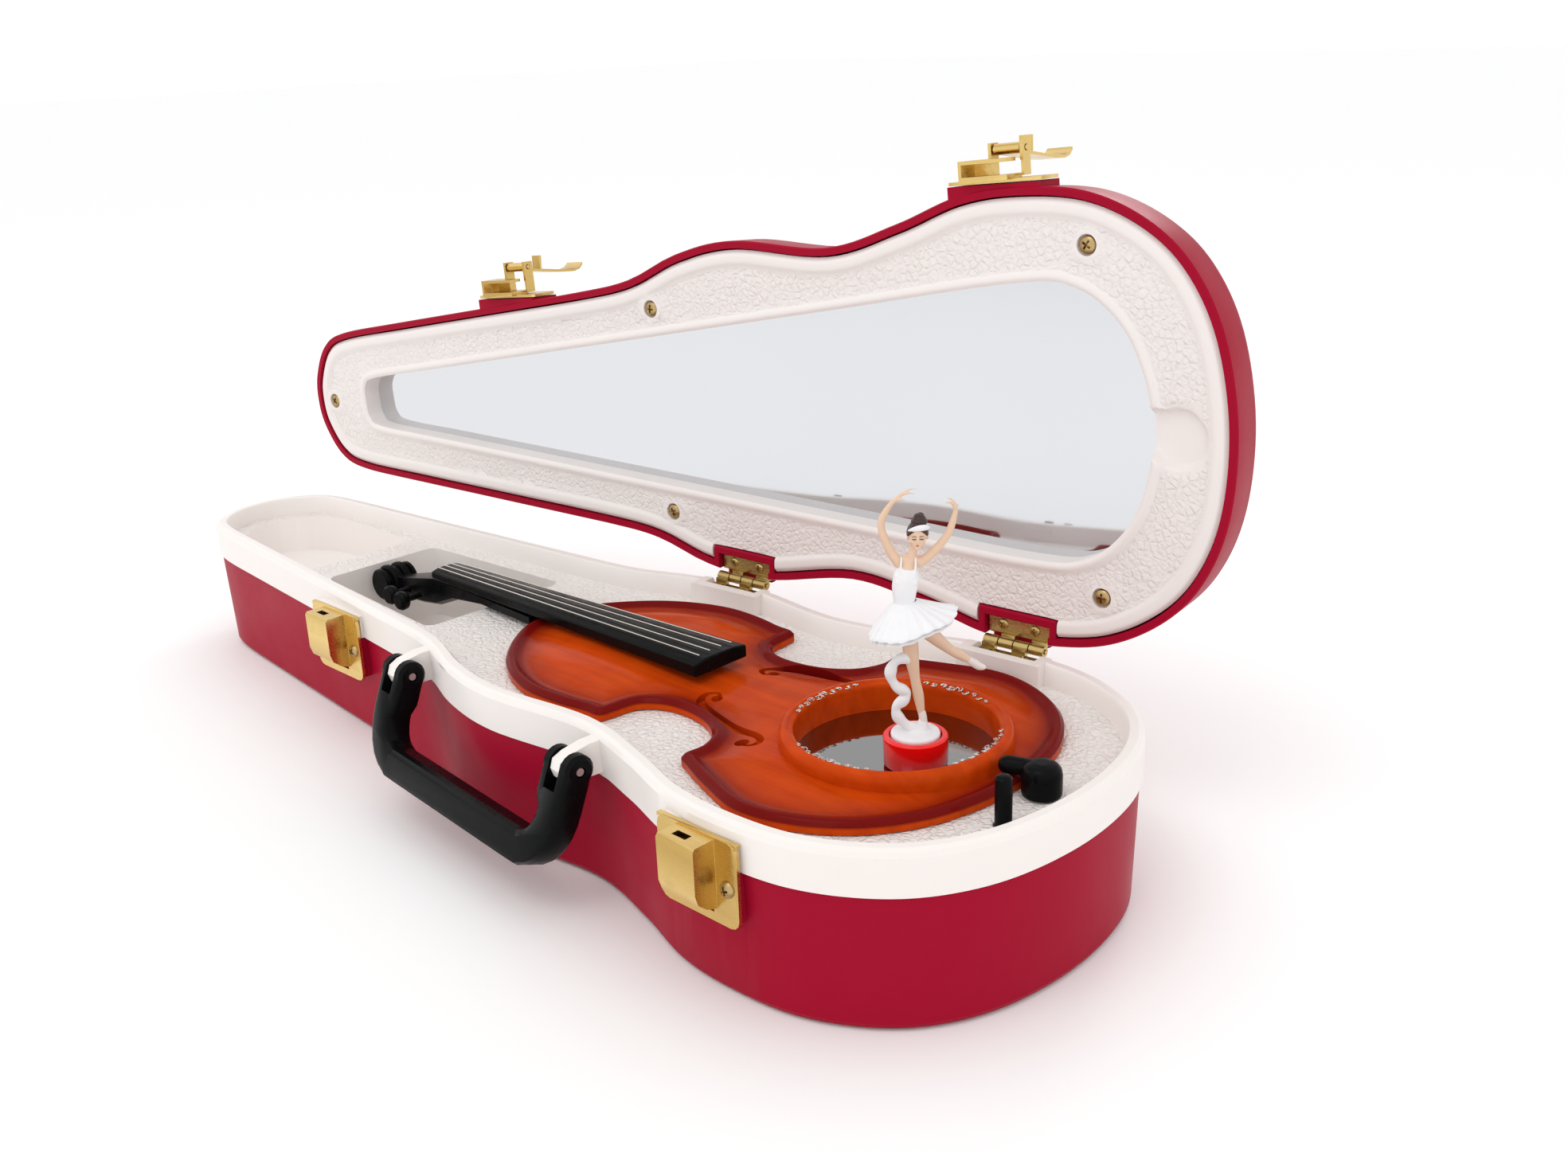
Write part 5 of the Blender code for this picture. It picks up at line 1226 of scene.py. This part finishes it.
def make_hardware():
    refine("handle", "handle", "black_gloss", bevel=0.9, segments=4, angle=40.0)
    for n in (1, 2):
        refine(f"handle_pin_{n}", "pin_pink", "steel", bevel=0.15)
        for node in ("latch_keeper", "latch_plate", "latch_lever"):
            refine(f"{node}_{n}", "brass", "brass", bevel=0.22, segments=3)
        for node in ("hinge_leaf_base", "hinge_leaf_lid"):
            refine(f"{node}_{n}", "bronze", "brass", bevel=0.15, segments=2)
        refine(f"latch_pin_{n}", "brass", "brass", bevel=0.1)
        refine(f"hinge_pin_{n}", "bronze", "brass", bevel=0.1)
    refine("stop_pin", "black", "black_gloss", bevel=0.35, segments=3)
    make_tail_clamp()
    refine("pedestal", "pedestal", "pedestal_red", bevel=0.25, segments=3)
    refine("pedestal_magnet", "steel", "steel", bevel=0.15)
    make_screws()


def front_of(node, start, direction):
    """Where a line from start first meets a node, in mm."""
    tree = BVHTree.FromBMesh(welded(node))
    hit = tree.ray_cast(Vector(start), Vector(direction).normalized())[0]
    return hit if hit is not None else Vector(start)


def make_screws():
    """Screws of the hinges and keepers."""
    down = OPENED.to_3x3() @ Vector((0.0, 0.0, -1.0))
    for n in (1, 2):
        place = hinge_place(HINGE_PLACES[n - 1])
        for k, x in enumerate((-4.3, 4.3), start=1):
            at = front_of(f"hinge_leaf_base_{n}", place @ Vector((x, -3.8, 60.0)), (0.0, 0.0, -1.0))
            place_up = facing(at, UP, 50.0 * k)
            phillips(f"hinge_screw_base_{n}_{k}", 1.4, 0.5, place_up, "bronze", "case", depth=0.4)
            at = front_of(f"hinge_leaf_lid_{n}", OPENED @ place @ Vector((x, -3.9, RIM - 8.0)), -down)
            place_down = facing(at, down, 35.0 * k)
            phillips(f"hinge_screw_lid_{n}_{k}", 1.4, 0.5, place_down, "bronze", "lid", depth=0.4)
        low, high = box_mm(f"latch_keeper_{n}")
        edge = front_of(f"latch_keeper_{n}", (high.x - 0.8, low.y - 10.0, low.z + 8.4), (0.0, 1.0, 0.0))
        at = edge - Vector((2.0, 0.15, 0.0))
        outward = facing(at, (0.0, -1.0, 0.0), 40.0 * n)
        phillips(f"keeper_screw_{n}", 1.8, 0.9, outward, "screw", "case")


# ---- music movement
def make_movement():
    for node in ("movement_bedplate", "music_cylinder", "spring_barrel", "governor_fan"):
        refine(node, "brass", "brass", bevel=0.15)
    for node in ("music_comb", "winding_key", "magnet_arm", "drive_magnet"):
        refine(node, "steel", "steel", bevel=0.12)
    spring = refine("stop_spring", "steel", "steel")
    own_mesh(spring)


# ---- stage
# the camera's place and aim, in metres, its roll in degrees and its lens in mm
CAMERA_PLACE = Vector((0.3086, -0.2291, 0.1797))
CAMERA_AIM = Vector((0.0804, 0.0, 0.0636))
CAMERA_ROLL = -2.21
CAMERA_LENS = 36.13
FLOOR_HALF = 6.0
LAMPS = (  # name, place, aim, width in metres, and power in watts
    ("key", (0.1, -0.55, 1.1), (0.05, 0.0, 0.03), 0.6, 1.5),
    ("fill", (-0.9, -0.5, 0.6), (0.0, 0.0, 0.05), 0.7, 0.5),
    ("back", (-0.15, 0.75, 0.42), (0.08, 0.0, 0.04), 0.22, 0.75),
)


def make_stage():
    """Camera at the reference angle, pale floor and soft studio light."""
    camera = bpy.data.cameras.new("camera")
    camera.sensor_width = 36.0
    camera.lens = CAMERA_LENS
    camera.clip_start = 0.01
    camera.clip_end = 20.0
    obj = add("camera", camera)
    look = (CAMERA_AIM - CAMERA_PLACE).to_track_quat("-Z", "Y").to_matrix()
    roll = Matrix.Rotation(math.radians(CAMERA_ROLL), 3, "Z")
    obj.matrix_world = Matrix.Translation(CAMERA_PLACE) @ (look @ roll).to_4x4()
    bpy.context.scene.camera = obj

    mesh = bpy.data.meshes.new("floor")
    mesh.from_pydata([(FLOOR_HALF * x, FLOOR_HALF * y, 0) for x, y in SQUARE], [], [(0, 1, 2, 3)])
    floor = add("floor", mesh)
    pale = Look("floor_paper", (0.97, 0.97, 0.97), 0.7, Specular_IOR_Level=0.1)
    pale.bump(pale.noise(8.0, 3.0), 0.02)
    mesh.materials.append(pale.material)

    world = bpy.data.worlds.new("studio")
    world.use_nodes = True
    sky = world.node_tree.nodes["Background"].inputs
    sky["Color"].default_value = (1.0, 1.0, 1.0, 1.0)
    sky["Strength"].default_value = 1.02
    bpy.context.scene.world = world
    for name, place, aim, width, power in LAMPS:
        lamp = bpy.data.lights.new(name, "AREA")
        lamp.energy = power
        lamp.shape = "RECTANGLE"
        lamp.size = width
        lamp.size_y = width * 0.7
        lamp.color = (1.0, 0.99, 0.98)
        aimed = (Vector(aim) - Vector(place)).to_track_quat("-Z", "Y").to_matrix().to_4x4()
        add(name, lamp).matrix_world = Matrix.Translation(place) @ aimed
    bpy.context.scene.view_settings.view_transform = "Standard"


make_stage()
make_case()
make_lid()
make_violin()
make_fingerboard()
make_dance_floor()
make_dancer()
make_hardware()
make_movement()
